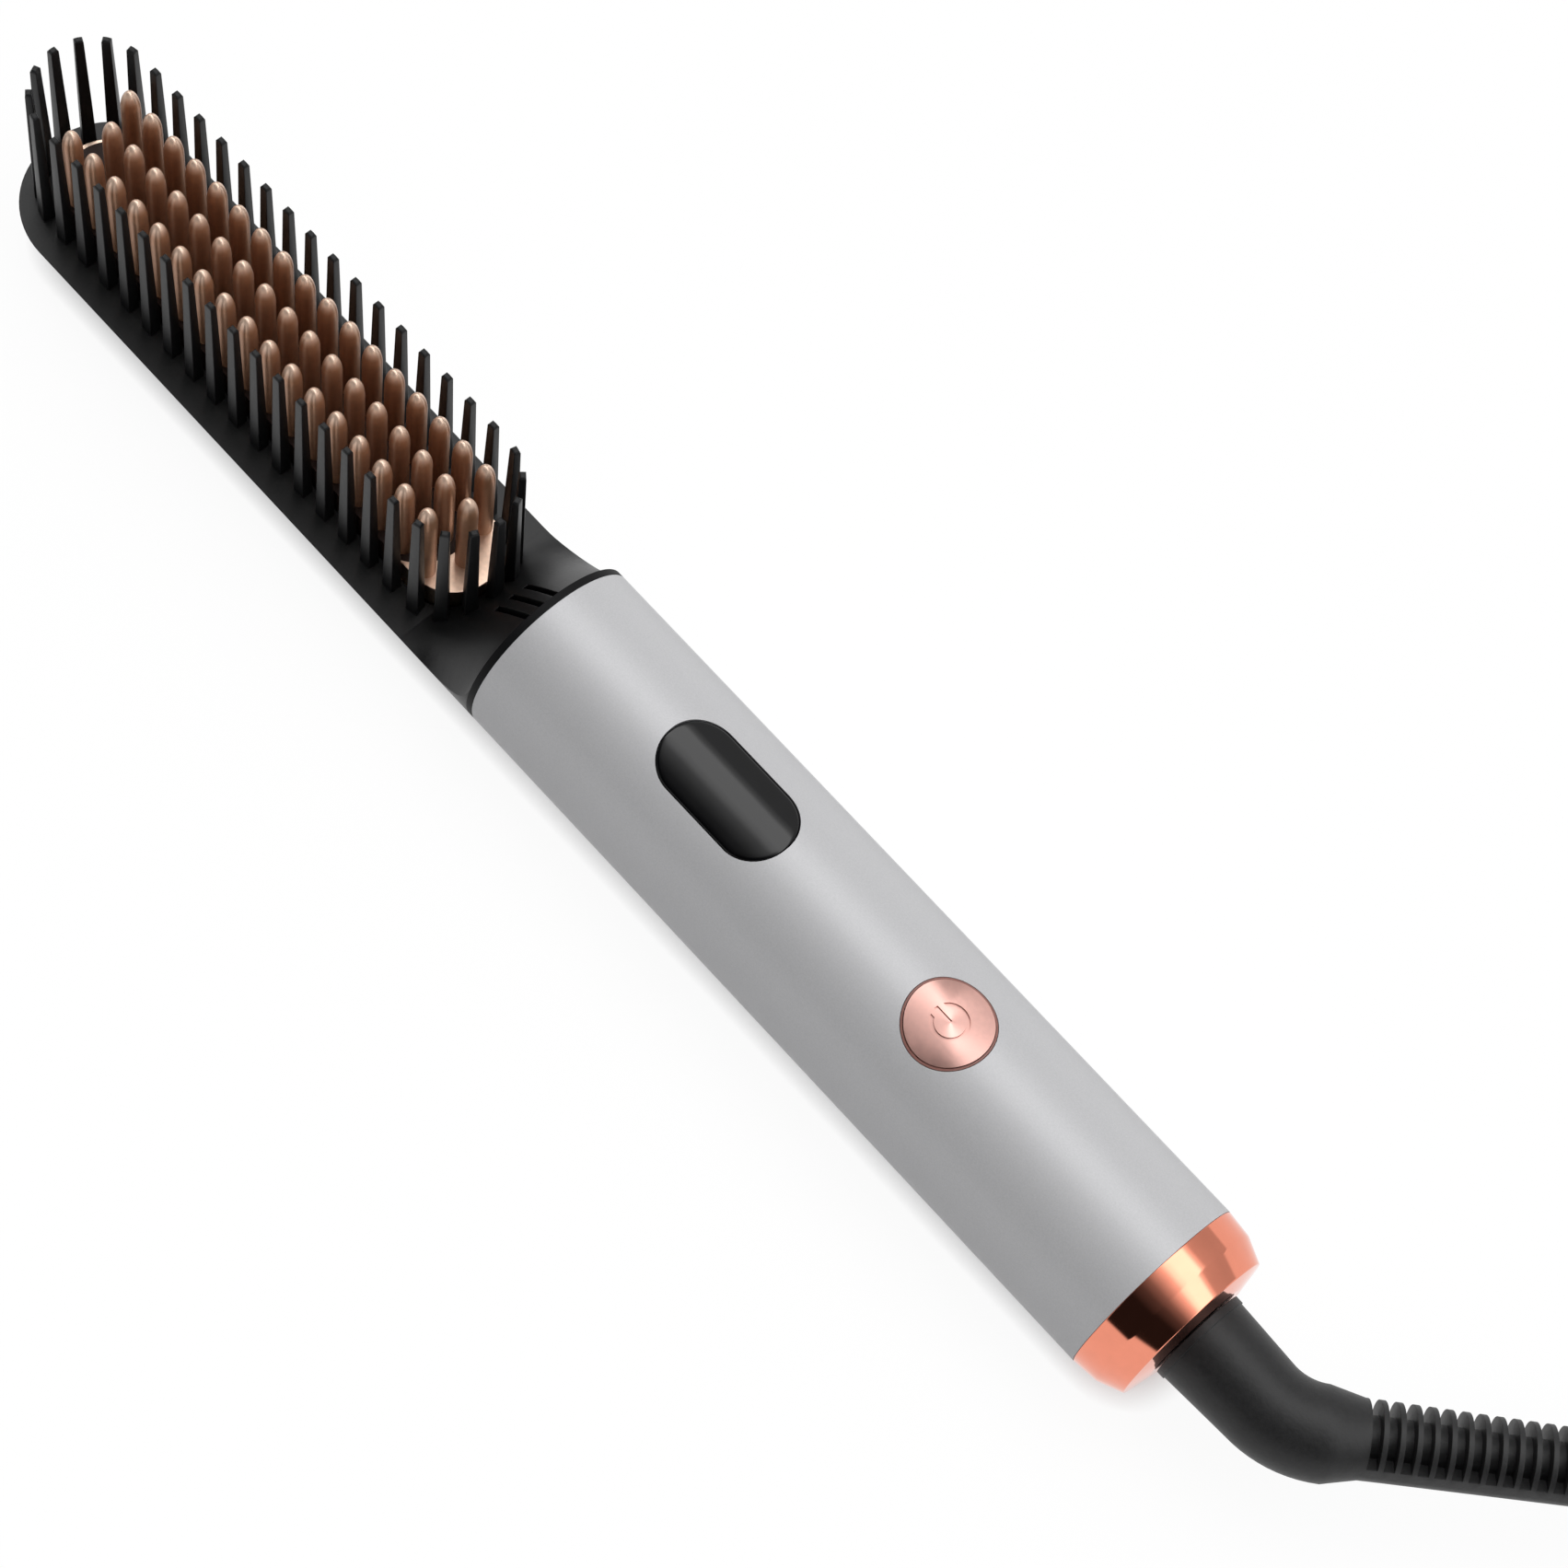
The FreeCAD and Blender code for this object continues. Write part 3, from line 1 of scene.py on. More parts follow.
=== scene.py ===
import math
import bpy
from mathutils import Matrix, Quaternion, Vector


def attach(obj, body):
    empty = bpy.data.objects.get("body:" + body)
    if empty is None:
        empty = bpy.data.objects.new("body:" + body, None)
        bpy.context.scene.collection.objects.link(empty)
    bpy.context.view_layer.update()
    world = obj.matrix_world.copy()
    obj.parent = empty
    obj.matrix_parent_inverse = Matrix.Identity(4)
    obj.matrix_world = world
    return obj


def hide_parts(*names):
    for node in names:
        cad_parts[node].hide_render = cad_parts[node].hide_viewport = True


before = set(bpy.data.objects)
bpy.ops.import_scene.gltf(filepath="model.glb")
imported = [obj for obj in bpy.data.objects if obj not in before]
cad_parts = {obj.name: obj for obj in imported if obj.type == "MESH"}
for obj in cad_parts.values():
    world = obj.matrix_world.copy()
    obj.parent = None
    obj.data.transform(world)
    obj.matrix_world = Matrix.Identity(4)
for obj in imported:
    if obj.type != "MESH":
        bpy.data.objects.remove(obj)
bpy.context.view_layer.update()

# The photographer's camera stands on the cord's side above the handle and looks down on the brush,
# which lies on its back. It is tilted so that the head points to the upper left corner.
camera_place = Vector((0.16407, -0.18506, 0.56542))
camera_aim = Vector((0.02757, 0.01184, 0.01500))
camera_tilt = math.radians(13.95)
camera_data = bpy.data.cameras.new("photographer")
camera_data.lens = 95.15
camera_data.sensor_width = 36.0
camera = bpy.data.objects.new("photographer", camera_data)
camera.rotation_mode = "QUATERNION"
camera.location = camera_place
looking = (camera_aim - camera_place).to_track_quat("-Z", "Y")
camera.rotation_quaternion = looking @ Quaternion((0.0, 0.0, 1.0), camera_tilt)
bpy.context.scene.collection.objects.link(camera)
bpy.context.scene.camera = camera

# The mains cord is a round black rubber lead. It leaves the strain relief, climbs to the top of a neat
# coil of the spare length, winds down through four layers and ends in the plug on the table.
cord_radius = 0.0030
cord_exit = Vector((0.186322, 0.037686, 0.0150))
coil_top = 0.0228
free_route = (
    (0.0, 0.0, 0.0),
    (0.01127, 0.0099, 0.0),
    (0.0260, 0.0177, 0.5),
    (0.0402, 0.0210, 1.0),
    (0.0527, 0.0210, 1.0),
)
coil_turns = 7 + 1 / 12
coil_layers = 4
coil_pitch = 0.0066
coil_middle_radius = 0.0310
coil_points_per_turn = 24
turns_per_layer = coil_turns / coil_layers
coil_swing = turns_per_layer * coil_pitch
layer_step_turns = 0.5
tail_route = ((0.0, 0.0), (0.0100, 0.0), (0.0235, 1.0), (0.0335, 1.0))
plug_middle_height = 0.00685
tie_angle = math.radians(235.0)
tie_lift = 0.0010
tie_lift_reach = math.radians(60.0)


def smooth_step(value):
    """A share from 0 to 1 that starts and ends gently."""
    value = min(max(value, 0.0), 1.0)
    return value * value * (3.0 - 2.0 * value)


def coil_point(middle, turn):
    """A point of the coil's centreline after a number of turns, clockwise from its +Y side."""
    layer = turn / coil_turns * coil_layers
    inward_share = layer % 2.0
    depth_share = inward_share if inward_share <= 1.0 else 2.0 - inward_share
    radius = coil_middle_radius + coil_swing * (0.5 - depth_share)
    drop = 0.0
    for climb in range(1, coil_layers):
        drop += smooth_step((turn - climb * turns_per_layer) / layer_step_turns + 0.5)
    angle = 2.0 * math.pi * turn
    off_tie = abs((angle - tie_angle + math.pi) % (2.0 * math.pi) - math.pi)
    lift = tie_lift * smooth_step(1.0 - off_tie / tie_lift_reach)
    return Vector((middle.x + radius * math.sin(angle), middle.y + radius * math.cos(angle),
                   coil_top - coil_pitch * drop + lift))


climb_height = coil_top - cord_exit.z
cord_points = []
for along, across, share in free_route:
    cord_points.append(cord_exit + Vector((along, across, share * climb_height)))
coil_start = cord_points[-1] + Vector((2.0 * cord_radius, 0.0, 0.0))
coil_outer_radius = coil_middle_radius + 0.5 * coil_swing
coil_middle = coil_start - Vector((0.0, coil_outer_radius, 0.0))
coil_count = round(coil_turns * coil_points_per_turn)
for index in range(coil_count + 1):
    cord_points.append(coil_point(coil_middle, coil_turns * index / coil_count))
tail_turn = 2.0 * math.pi * coil_turns
tail_heading = Vector((math.cos(tail_turn), -math.sin(tail_turn), 0.0))
tail_start = cord_points[-1] + tail_heading * 2.0 * cord_radius
tail_start.z = cord_radius
tail_climb = plug_middle_height - cord_radius
for along, share in tail_route:
    cord_points.append(tail_start + tail_heading * along + Vector((0.0, 0.0, share * tail_climb)))

cord_curve = bpy.data.curves.new("mains_cord_run", "CURVE")
cord_curve.dimensions = "3D"
cord_line = cord_curve.splines.new("NURBS")
cord_line.points.add(len(cord_points) - 1)
for control, place in zip(cord_line.points, cord_points):
    control.co = (*place, 1.0)
cord_line.order_u = 3
cord_line.use_endpoint_u = True
cord_line.resolution_u = 6
cord_curve.bevel_depth = cord_radius
cord_curve.bevel_resolution = 5
cord_curve.use_fill_caps = True
mains_cord = bpy.data.objects.new("mains_cord_run", cord_curve)
bpy.context.scene.collection.objects.link(mains_cord)


def finish(name, colour, roughness, grain, shade_spread, roughness_spread, bump_depth, metal=0.0,
           gloss_level=0.5, edge_round=0.0):
    """A material whose colour, gloss and surface vary with a grain of the given size in metres."""
    material = bpy.data.materials.new(name)
    material.use_nodes = True
    nodes = material.node_tree.nodes
    links = material.node_tree.links
    shader = nodes["Principled BSDF"]
    shader.inputs["Metallic"].default_value = metal
    shader.inputs["Specular IOR Level"].default_value = gloss_level
    place = nodes.new("ShaderNodeTexCoord")
    speckle = nodes.new("ShaderNodeTexNoise")
    speckle.inputs["Scale"].default_value = 1.0 / grain
    speckle.inputs["Detail"].default_value = 3.0
    links.new(place.outputs["Object"], speckle.inputs["Vector"])
    shades = nodes.new("ShaderNodeValToRGB")
    shades.color_ramp.elements[0].position = 0.3
    shades.color_ramp.elements[1].position = 0.7
    shades.color_ramp.elements[0].color = (*[part * (1.0 - shade_spread) for part in colour], 1.0)
    shades.color_ramp.elements[1].color = (*[part * (1.0 + shade_spread) for part in colour], 1.0)
    links.new(speckle.outputs["Fac"], shades.inputs["Fac"])
    links.new(shades.outputs["Color"], shader.inputs["Base Color"])
    gloss = nodes.new("ShaderNodeMapRange")
    gloss.inputs["To Min"].default_value = roughness - roughness_spread
    gloss.inputs["To Max"].default_value = roughness + roughness_spread
    links.new(speckle.outputs["Fac"], gloss.inputs["Value"])
    links.new(gloss.outputs["Result"], shader.inputs["Roughness"])
    relief = nodes.new("ShaderNodeBump")
    relief.inputs["Strength"].default_value = 1.0
    relief.inputs["Distance"].default_value = bump_depth
    links.new(speckle.outputs["Fac"], relief.inputs["Height"])
    links.new(relief.outputs["Normal"], shader.inputs["Normal"])
    if edge_round:
        rounding = nodes.new("ShaderNodeBevel")
        rounding.inputs["Radius"].default_value = edge_round
        links.new(rounding.outputs["Normal"], relief.inputs["Normal"])
    return material


cord_rubber = finish(
    "cord_rubber", (0.012, 0.012, 0.0125), roughness=0.55, grain=0.0006, shade_spread=0.15,
    roughness_spread=0.06, bump_depth=0.00002, gloss_level=0.3)
cord_curve.materials.append(cord_rubber)
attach(mains_cord, "cord_swivel")
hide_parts("mains_cord", "cord_coil", "plug_tail")

# The tie is a strip of woven nylon tape, wrapped once round all the turns of the coil, with its hooked
# end pressed down over the start.
tie_width = 0.0100
tie_thickness = 0.0008
tie_slack = 0.0001
tie_steps = 72
tab_steps = range(8, 26)
tab_width = 0.0092
tie_edge_round = 0.0002
tie_thread = 0.0005

tie_outward = Vector((math.sin(tie_angle), math.cos(tie_angle), 0.0))
tie_along = Vector((math.cos(tie_angle), -math.sin(tie_angle), 0.0))
tie_turn = tie_angle / (2.0 * math.pi)
tied_turns = [coil_point(coil_middle, tie_turn + turn) for turn in range(int(coil_turns))]
tied_places = [Vector(((place - coil_middle).dot(tie_outward), place.z)) for place in tied_turns]


def tie_point(step, reach, edge):
    """A point of the tape, which is drawn tight round the tied turns at a reach from their centres."""
    turn = 2.0 * math.pi * step / tie_steps
    way = Vector((math.cos(turn), math.sin(turn)))
    farthest = max(tied_places, key=lambda place: place.dot(way))
    outward, up = farthest + way * reach
    level = Vector((coil_middle.x, coil_middle.y, up))
    return level + tie_outward * outward + tie_along * edge


def tape_layer(steps, inner_reach, width, closed):
    """Corners and faces of one layer of tape over some of the steps round the turns."""
    corners = []
    for step in steps:
        for reach in (inner_reach, inner_reach + tie_thickness):
            corners += [tie_point(step, reach, -width / 2.0), tie_point(step, reach, width / 2.0)]
    faces = []
    for row in range(len(steps) if closed else len(steps) - 1):
        here, after = 4 * row, 4 * ((row + 1) % len(steps))
        for first, second in ((0, 1), (1, 3), (3, 2), (2, 0)):
            faces.append((here + first, here + second, after + second, after + first))
    if not closed:
        last = len(corners) - 4
        faces += [(0, 2, 3, 1), (last, last + 1, last + 3, last + 2)]
    return corners, faces


def piece(name, corners, faces, smooth=False):
    """A piece that is drawn here, from its corners and faces."""
    mesh = bpy.data.meshes.new(name)
    mesh.from_pydata(corners, [], faces)
    mesh.polygons.foreach_set("use_smooth", [smooth] * len(faces))
    drawn = bpy.data.objects.new(name, mesh)
    bpy.context.scene.collection.objects.link(drawn)
    return drawn


wrap_reach = cord_radius + tie_slack
tie_corners, tie_faces = tape_layer(range(tie_steps), wrap_reach, tie_width, True)
tab_corners, tab_faces = tape_layer(tab_steps, wrap_reach + tie_thickness, tab_width, False)
tie_faces += [tuple(corner + len(tie_corners) for corner in face) for face in tab_faces]
tie_corners += tab_corners
coil_tie = piece("coil_tie", tie_corners, tie_faces)
tie_rounding = coil_tie.modifiers.new("worn_edges", "BEVEL")
tie_rounding.width = tie_edge_round
tie_rounding.segments = 2


def reckon(tree, operation, first, second=0.0):
    """One step of arithmetic in a material, between numbers or sockets. Gives the socket of the result."""
    step = tree.nodes.new("ShaderNodeMath")
    step.operation = operation
    for socket, value in zip(step.inputs, (first, second)):
        if isinstance(value, float):
            socket.default_value = value
        else:
            tree.links.new(value, socket)
    return step.outputs["Value"]


def bands_apart(pitch):
    """The scale of a wave pattern whose bands lie a pitch in metres apart."""
    return math.pi / (10.0 * pitch)


def tape_finish(name, colour, thread):
    """Woven tape: two sets of threads that cross, with a soft sheen."""
    material = finish(
        name, colour, roughness=0.8, grain=3.0 * thread, shade_spread=0.2, roughness_spread=0.08,
        bump_depth=0.0, gloss_level=0.2)
    nodes = material.node_tree.nodes
    links = material.node_tree.links
    shader = nodes["Principled BSDF"]
    shader.inputs["Sheen Weight"].default_value = 0.3
    place = nodes.new("ShaderNodeTexCoord")
    threads = []
    for direction in ("DIAGONAL", "Z"):
        wave = nodes.new("ShaderNodeTexWave")
        wave.bands_direction = direction
        wave.inputs["Scale"].default_value = bands_apart(thread)
        wave.inputs["Distortion"].default_value = 0.4
        links.new(place.outputs["Object"], wave.inputs["Vector"])
        threads.append(wave.outputs["Fac"])
    weave = reckon(material.node_tree, "MULTIPLY", *threads)
    relief = nodes.new("ShaderNodeBump")
    relief.inputs["Distance"].default_value = thread / 4.0
    links.new(weave, relief.inputs["Height"])
    links.new(relief.outputs["Normal"], shader.inputs["Normal"])
    return material


coil_tie.data.materials.append(tape_finish("tie_tape", (0.020, 0.020, 0.022), tie_thread))
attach(coil_tie, "cord_swivel")

# The plug is a flat two-pin moulding of the same black rubber as the cord, with nickel-plated brass pins
# in insulating sleeves. Every moulded piece is shaded as one smooth skin between its real edges.
seam_width = 1e-6
sharp_edge = math.radians(32.0)


def skin_steps(name):
    """An empty set of steps for the skin of a piece, with one skin going in and one coming out."""
    steps = bpy.data.node_groups.new(name, "GeometryNodeTree")
    for way in ("INPUT", "OUTPUT"):
        steps.interface.new_socket("Geometry", in_out=way, socket_type="NodeSocketGeometry")
    return steps


smooth_skin = skin_steps("smooth_skin")
skin_in = smooth_skin.nodes.new("NodeGroupInput")
skin_weld = smooth_skin.nodes.new("GeometryNodeMergeByDistance")
skin_weld.inputs["Distance"].default_value = seam_width
skin_plain = smooth_skin.nodes.new("GeometryNodeRemoveAttribute")
skin_plain.inputs["Name"].default_value = "custom_normal"
skin_faces = smooth_skin.nodes.new("GeometryNodeSetShadeSmooth")
skin_faces.domain = "FACE"
skin_edges = smooth_skin.nodes.new("GeometryNodeSetShadeSmooth")
skin_edges.domain = "EDGE"
skin_edges.inputs["Shade Smooth"].default_value = False
skin_angle = smooth_skin.nodes.new("GeometryNodeInputMeshEdgeAngle")
skin_sharp = smooth_skin.nodes.new("FunctionNodeCompare")
skin_sharp.operation = "GREATER_THAN"
skin_sharp.inputs["B"].default_value = sharp_edge
skin_out = smooth_skin.nodes.new("NodeGroupOutput")
for source, socket, target, name in (
        (skin_in, "Geometry", skin_weld, "Geometry"), (skin_weld, "Geometry", skin_plain, "Geometry"),
        (skin_plain, "Geometry", skin_faces, "Geometry"), (skin_faces, "Geometry", skin_edges, "Geometry"),
        (skin_angle, "Unsigned Angle", skin_sharp, "A"), (skin_sharp, "Result", skin_edges, "Selection"),
        (skin_edges, "Geometry", skin_out, "Geometry")):
    smooth_skin.links.new(source.outputs[socket], target.inputs[name])


def dress(material, *names):
    """Gives CAD nodes their finish and smooth shading."""
    for name in names:
        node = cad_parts[name]
        node.data.materials.clear()
        node.data.materials.append(material)
        node.modifiers.new("smooth_skin", "NODES").node_group = smooth_skin
        evening = node.modifiers.new("even_shading", "WEIGHTED_NORMAL")
        evening.keep_sharp = True


plug_rubber = finish(
    "plug_rubber", (0.013, 0.013, 0.0135), roughness=0.55, grain=0.0007, shade_spread=0.15,
    roughness_spread=0.06, bump_depth=0.00003, gloss_level=0.3, edge_round=0.0004)
dress(plug_rubber, "plug_body")
sleeve_plastic = finish(
    "sleeve_plastic", (0.018, 0.018, 0.019), roughness=0.4, grain=0.0004, shade_spread=0.1,
    roughness_spread=0.05, bump_depth=0.00001)
dress(sleeve_plastic, "pin_sleeves")
pin_nickel = finish(
    "pin_nickel", (0.75, 0.72, 0.66), roughness=0.22, grain=0.0005, shade_spread=0.05,
    roughness_spread=0.06, bump_depth=0.000005, metal=1.0)
dress(pin_nickel, "plug_pins")

# The strain relief is one black rubber moulding: a smooth elbow and a tail with thin ribs on a spine. It
# grips the cord and turns with it in the handle.
relief_rubber = finish(
    "relief_rubber", (0.013, 0.013, 0.0135), roughness=0.48, grain=0.0007, shade_spread=0.15,
    roughness_spread=0.06, bump_depth=0.00003, gloss_level=0.35, edge_round=0.00015)
dress(relief_rubber, "strain_relief")

# The head's two halves and the collar are moulded in satin black heat-proof nylon with a fine spark-eroded
# grain. The halves snap together round the hot plate, and their spigot is pushed into the tube.
head_nylon = finish(
    "head_nylon", (0.0085, 0.0085, 0.009), roughness=0.42, grain=0.0004, shade_spread=0.2,
    roughness_spread=0.06, bump_depth=0.000012, gloss_level=0.32, edge_round=0.0002)
dress(head_nylon, "comb_housing", "back_shell")
collar_nylon = finish(
    "collar_nylon", (0.0035, 0.0035, 0.004), roughness=0.55, grain=0.0004, shade_spread=0.2,
    roughness_spread=0.06, bump_depth=0.000010, gloss_level=0.12)
dress(collar_nylon, "collar_ring")

# The guard bristles are tapered blades of the same nylon with full sides, moulded separately and set into
# the deck all round the plate. They stand taller than the teeth and keep the skin off them.
bristle_fullness = 0.00018
bristle_nylon = finish(
    "bristle_nylon", (0.0065, 0.0067, 0.0072), roughness=0.42, grain=0.0006, shade_spread=0.2,
    roughness_spread=0.05, bump_depth=0.000006, gloss_level=0.22, edge_round=0.00022)
dress(bristle_nylon, "bristles")
full_sides = skin_steps("full_sides")
sides_in = full_sides.nodes.new("NodeGroupInput")
sides_out = full_sides.nodes.new("NodeGroupOutput")
sides_way = full_sides.nodes.new("GeometryNodeInputNormal")
sides_reach = full_sides.nodes.new("ShaderNodeVectorMath")
sides_reach.operation = "MULTIPLY"
sides_reach.inputs[1].default_value = (bristle_fullness, bristle_fullness, 0.0)
sides_moved = full_sides.nodes.new("GeometryNodeSetPosition")
full_sides.links.new(sides_way.outputs["Normal"], sides_reach.inputs[0])
full_sides.links.new(sides_reach.outputs["Vector"], sides_moved.inputs["Offset"])
full_sides.links.new(sides_in.outputs["Geometry"], sides_moved.inputs["Geometry"])
full_sides.links.new(sides_moved.outputs["Geometry"], sides_out.inputs["Geometry"])
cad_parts["bristles"].modifiers.new("full_sides", "NODES").node_group = full_sides

# The hot plate is an aluminium casting with a pale copper wall and edge. Its floor, between the teeth, is
# painted dark brown as painted shade, up to a little before the rear end.
plate_edge = 0.0006
# The painted shade on the floor stops this far short of the rear end.
plate_unshaded_end = 0.0060
plate_corners = [Vector(corner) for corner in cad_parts["heated_plate"].bound_box]
plate_middle = sum(plate_corners, Vector()) / len(plate_corners)
plate_far_corner = Vector([max(places) for places in zip(*plate_corners)])
plate_half = plate_far_corner - plate_middle
floor_shade_shift = Vector((plate_unshaded_end / 2.0, 0.0, 0.0))


def plate_finish(name, wall, floor, middle, half, edge):
    """Bare metal on the wall and along the edge of a plate with round ends, painted shade on the floor
    inside.
    """
    material = finish(
        name, wall, roughness=0.30, grain=0.0006, shade_spread=0.08, roughness_spread=0.05,
        bump_depth=0.000006, metal=1.0, edge_round=0.0002)
    tree = material.node_tree
    nodes = tree.nodes
    links = tree.links
    place = nodes.new("ShaderNodeTexCoord")
    apart = nodes.new("ShaderNodeSeparateXYZ")
    links.new(place.outputs["Object"], apart.inputs["Vector"])
    from_middle = reckon(tree, "ABSOLUTE", reckon(tree, "SUBTRACT", apart.outputs["X"], middle.x))
    past_straight = reckon(tree, "MAXIMUM", reckon(tree, "SUBTRACT", from_middle, half.x - half.y), 0.0)
    across = reckon(tree, "SUBTRACT", apart.outputs["Y"], middle.y)
    past_squared = reckon(tree, "MULTIPLY", past_straight, past_straight)
    across_squared = reckon(tree, "MULTIPLY", across, across)
    reach = reckon(tree, "SQRT", reckon(tree, "ADD", past_squared, across_squared))
    inside = reckon(tree, "LESS_THAN", reach, half.y - edge)
    # Painted shade: the floor between the teeth gets a dark brown instead of the copper.
    floor_shade = nodes.new("ShaderNodeBsdfPrincipled")
    floor_shade.inputs["Base Color"].default_value = (*floor, 1.0)
    floor_shade.inputs["Roughness"].default_value = 0.45
    floor_shade.inputs["Specular IOR Level"].default_value = 0.2
    floor_shade_mix = nodes.new("ShaderNodeMixShader")
    links.new(inside, floor_shade_mix.inputs["Fac"])
    links.new(nodes["Principled BSDF"].outputs["BSDF"], floor_shade_mix.inputs[1])
    links.new(floor_shade.outputs["BSDF"], floor_shade_mix.inputs[2])
    links.new(floor_shade_mix.outputs["Shader"], nodes["Material Output"].inputs["Surface"])
    return material


dress(plate_finish("plate_copper", (0.79, 0.59, 0.46), (0.026, 0.012, 0.008), plate_middle - floor_shade_shift,
                   plate_half - floor_shade_shift, plate_edge), "heated_plate")

# Its three rows of teeth are cast with it and coated in a copper-brown ceramic glaze with a metal gloss.
# The glaze colour goes over to a paler copper at the tips, which is a painted highlight.
teeth_top = max(corner[2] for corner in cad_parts["plate_teeth"].bound_box)
# How far below the tips the painted highlight reaches.
tip_highlight_reach = 0.0024


def tooth_finish(name, colour, tip_highlight_colour, top, reach):
    """A glaze that goes over to a paler painted highlight colour in a reach below the top."""
    material = finish(
        name, colour, roughness=0.38, grain=0.0011, shade_spread=0.06, roughness_spread=0.03,
        bump_depth=0.00001, metal=0.55, gloss_level=1.0)
    nodes = material.node_tree.nodes
    links = material.node_tree.links
    base = nodes["Principled BSDF"].inputs["Base Color"]
    place = nodes.new("ShaderNodeTexCoord")
    apart = nodes.new("ShaderNodeSeparateXYZ")
    links.new(place.outputs["Object"], apart.inputs["Vector"])
    tip_highlight_share = nodes.new("ShaderNodeMapRange")
    tip_highlight_share.interpolation_type = "SMOOTHSTEP"
    tip_highlight_share.inputs["From Min"].default_value = top - reach
    tip_highlight_share.inputs["From Max"].default_value = top
    links.new(apart.outputs["Z"], tip_highlight_share.inputs["Value"])
    # Painted highlight: the tips go over to the paler colour.
    glaze = nodes.new("ShaderNodeMixRGB")
    glaze.inputs["Color2"].default_value = (*tip_highlight_colour, 1.0)
    links.new(tip_highlight_share.outputs["Result"], glaze.inputs["Fac"])
    links.new(base.links[0].from_socket, glaze.inputs["Color1"])
    links.new(glaze.outputs["Color"], base)
    return material


tooth_glaze_painted_tips = tooth_finish("tooth_glaze_painted_tips", (0.475, 0.240, 0.134), (0.86, 0.63, 0.49), teeth_top, tip_highlight_reach)
dress(tooth_glaze_painted_tips, "plate_teeth")

# The handle tube is drawn aluminium, bead-blasted and sprayed with a satin silver lacquer, which stays dull
# along its edges. The spigot of the head is pushed into its front end.
silver_lacquer = finish(
    "silver_lacquer", (0.47, 0.47, 0.48), roughness=0.42, grain=0.00022, shade_spread=0.05,
    roughness_spread=0.05, bump_depth=0.000005, metal=0.22, gloss_level=0.05)
lacquer_rim = (0.25, 0.25, 0.25, 1.0)
silver_lacquer.node_tree.nodes["Principled BSDF"].inputs["Specular Tint"].default_value = lacquer_rim
dress(silver_lacquer, "handle_tube")

# The display window is a gloss black acrylic lens. It follows the tube's curve, is flush with it and has
# a polished edge. Its flange is glued inside the tube.
lens_middle = 0.026725
lens_half_length = 0.01195
lens_half_width = 0.00620
lens_corner = 0.00595
tube_radius = 0.0150
lens_depth = 0.0031
lens_edge_round = 0.0004
lens_edge_drop = 0.6
lens_corner_steps = 16
lens_insets = (0.0, 0.00005, 0.00015, 0.0003, 0.0005, 0.0010, 0.0018, 0.0028, 0.0038, 0.0048, 0.0056)


def tube_top(across):
    """The height of the tube's skin at a distance across from its middle line."""
    return tube_radius + math.sqrt(tube_radius ** 2 - across ** 2)


def lens_outline(inset):
    """The window's outline as offsets along and across the tube, drawn in by an inset."""
    corner = lens_corner - inset
    outline = []
    for index, (along, across) in enumerate(((1, 1), (-1, 1), (-1, -1), (1, -1))):
        for step in range(lens_corner_steps + 1):
            turn = math.pi / 2.0 * (index + step / lens_corner_steps)
            outline.append((along * (lens_half_length - inset - corner) + corner * math.cos(turn),
                            across * (lens_half_width - inset - corner) + corner * math.sin(turn)))
    return outline


lens_corners = []
for along, across in lens_outline(0.0):
    lens_corners.append((lens_middle + along, across, tube_top(across) - lens_depth))
for inset in lens_insets:
    drop = lens_edge_round * lens_edge_drop * max(1.0 - inset / lens_edge_round, 0.0) ** 2
    for along, across in lens_outline(inset):
        lens_corners.append((lens_middle + along, across, tube_top(across) - drop))
lens_ring = len(lens_outline(0.0))
lens_faces = []
for ring in range(len(lens_insets)):
    for step in range(lens_ring):
        after = (step + 1) % lens_ring
        lens_faces.append((ring * lens_ring + step, ring * lens_ring + after,
                           (ring + 1) * lens_ring + after, (ring + 1) * lens_ring + step))
lens_faces.append(tuple(len(lens_insets) * lens_ring + step for step in range(lens_ring)))
lens_faces.append(tuple(reversed(range(lens_ring))))
window_lens = piece("window_lens", lens_corners, lens_faces, smooth=True)
lens_acrylic = finish(
    "lens_acrylic", (0.0020, 0.0020, 0.0024), roughness=0.05, grain=0.003, shade_spread=0.2,
    roughness_spread=0.01, bump_depth=0.000004, gloss_level=0.4)
window_lens.data.materials.append(lens_acrylic)
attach(window_lens, "brush")
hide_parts("display_window")

# The button is a rose-gold metal disc with a spun face and a fine engraved power sign. A nylon sleeve on
# the circuit board guides it; its rosy brown colour is painted shade of the gap, seen as a thin ring.
# The sleeve's dark rosy brown is painted shade of the gap round the button.
guide_nylon_painted_shade = finish(
    "guide_nylon_painted_shade", (0.230, 0.105, 0.088), roughness=0.4, grain=0.0005, shade_spread=0.1,
    roughness_spread=0.05, bump_depth=0.00001, gloss_level=0.3)
dress(guide_nylon_painted_shade, "button_guide")
button_middle = Vector((0.072525, 0.0, 0.0))
spun_groove = 0.00012


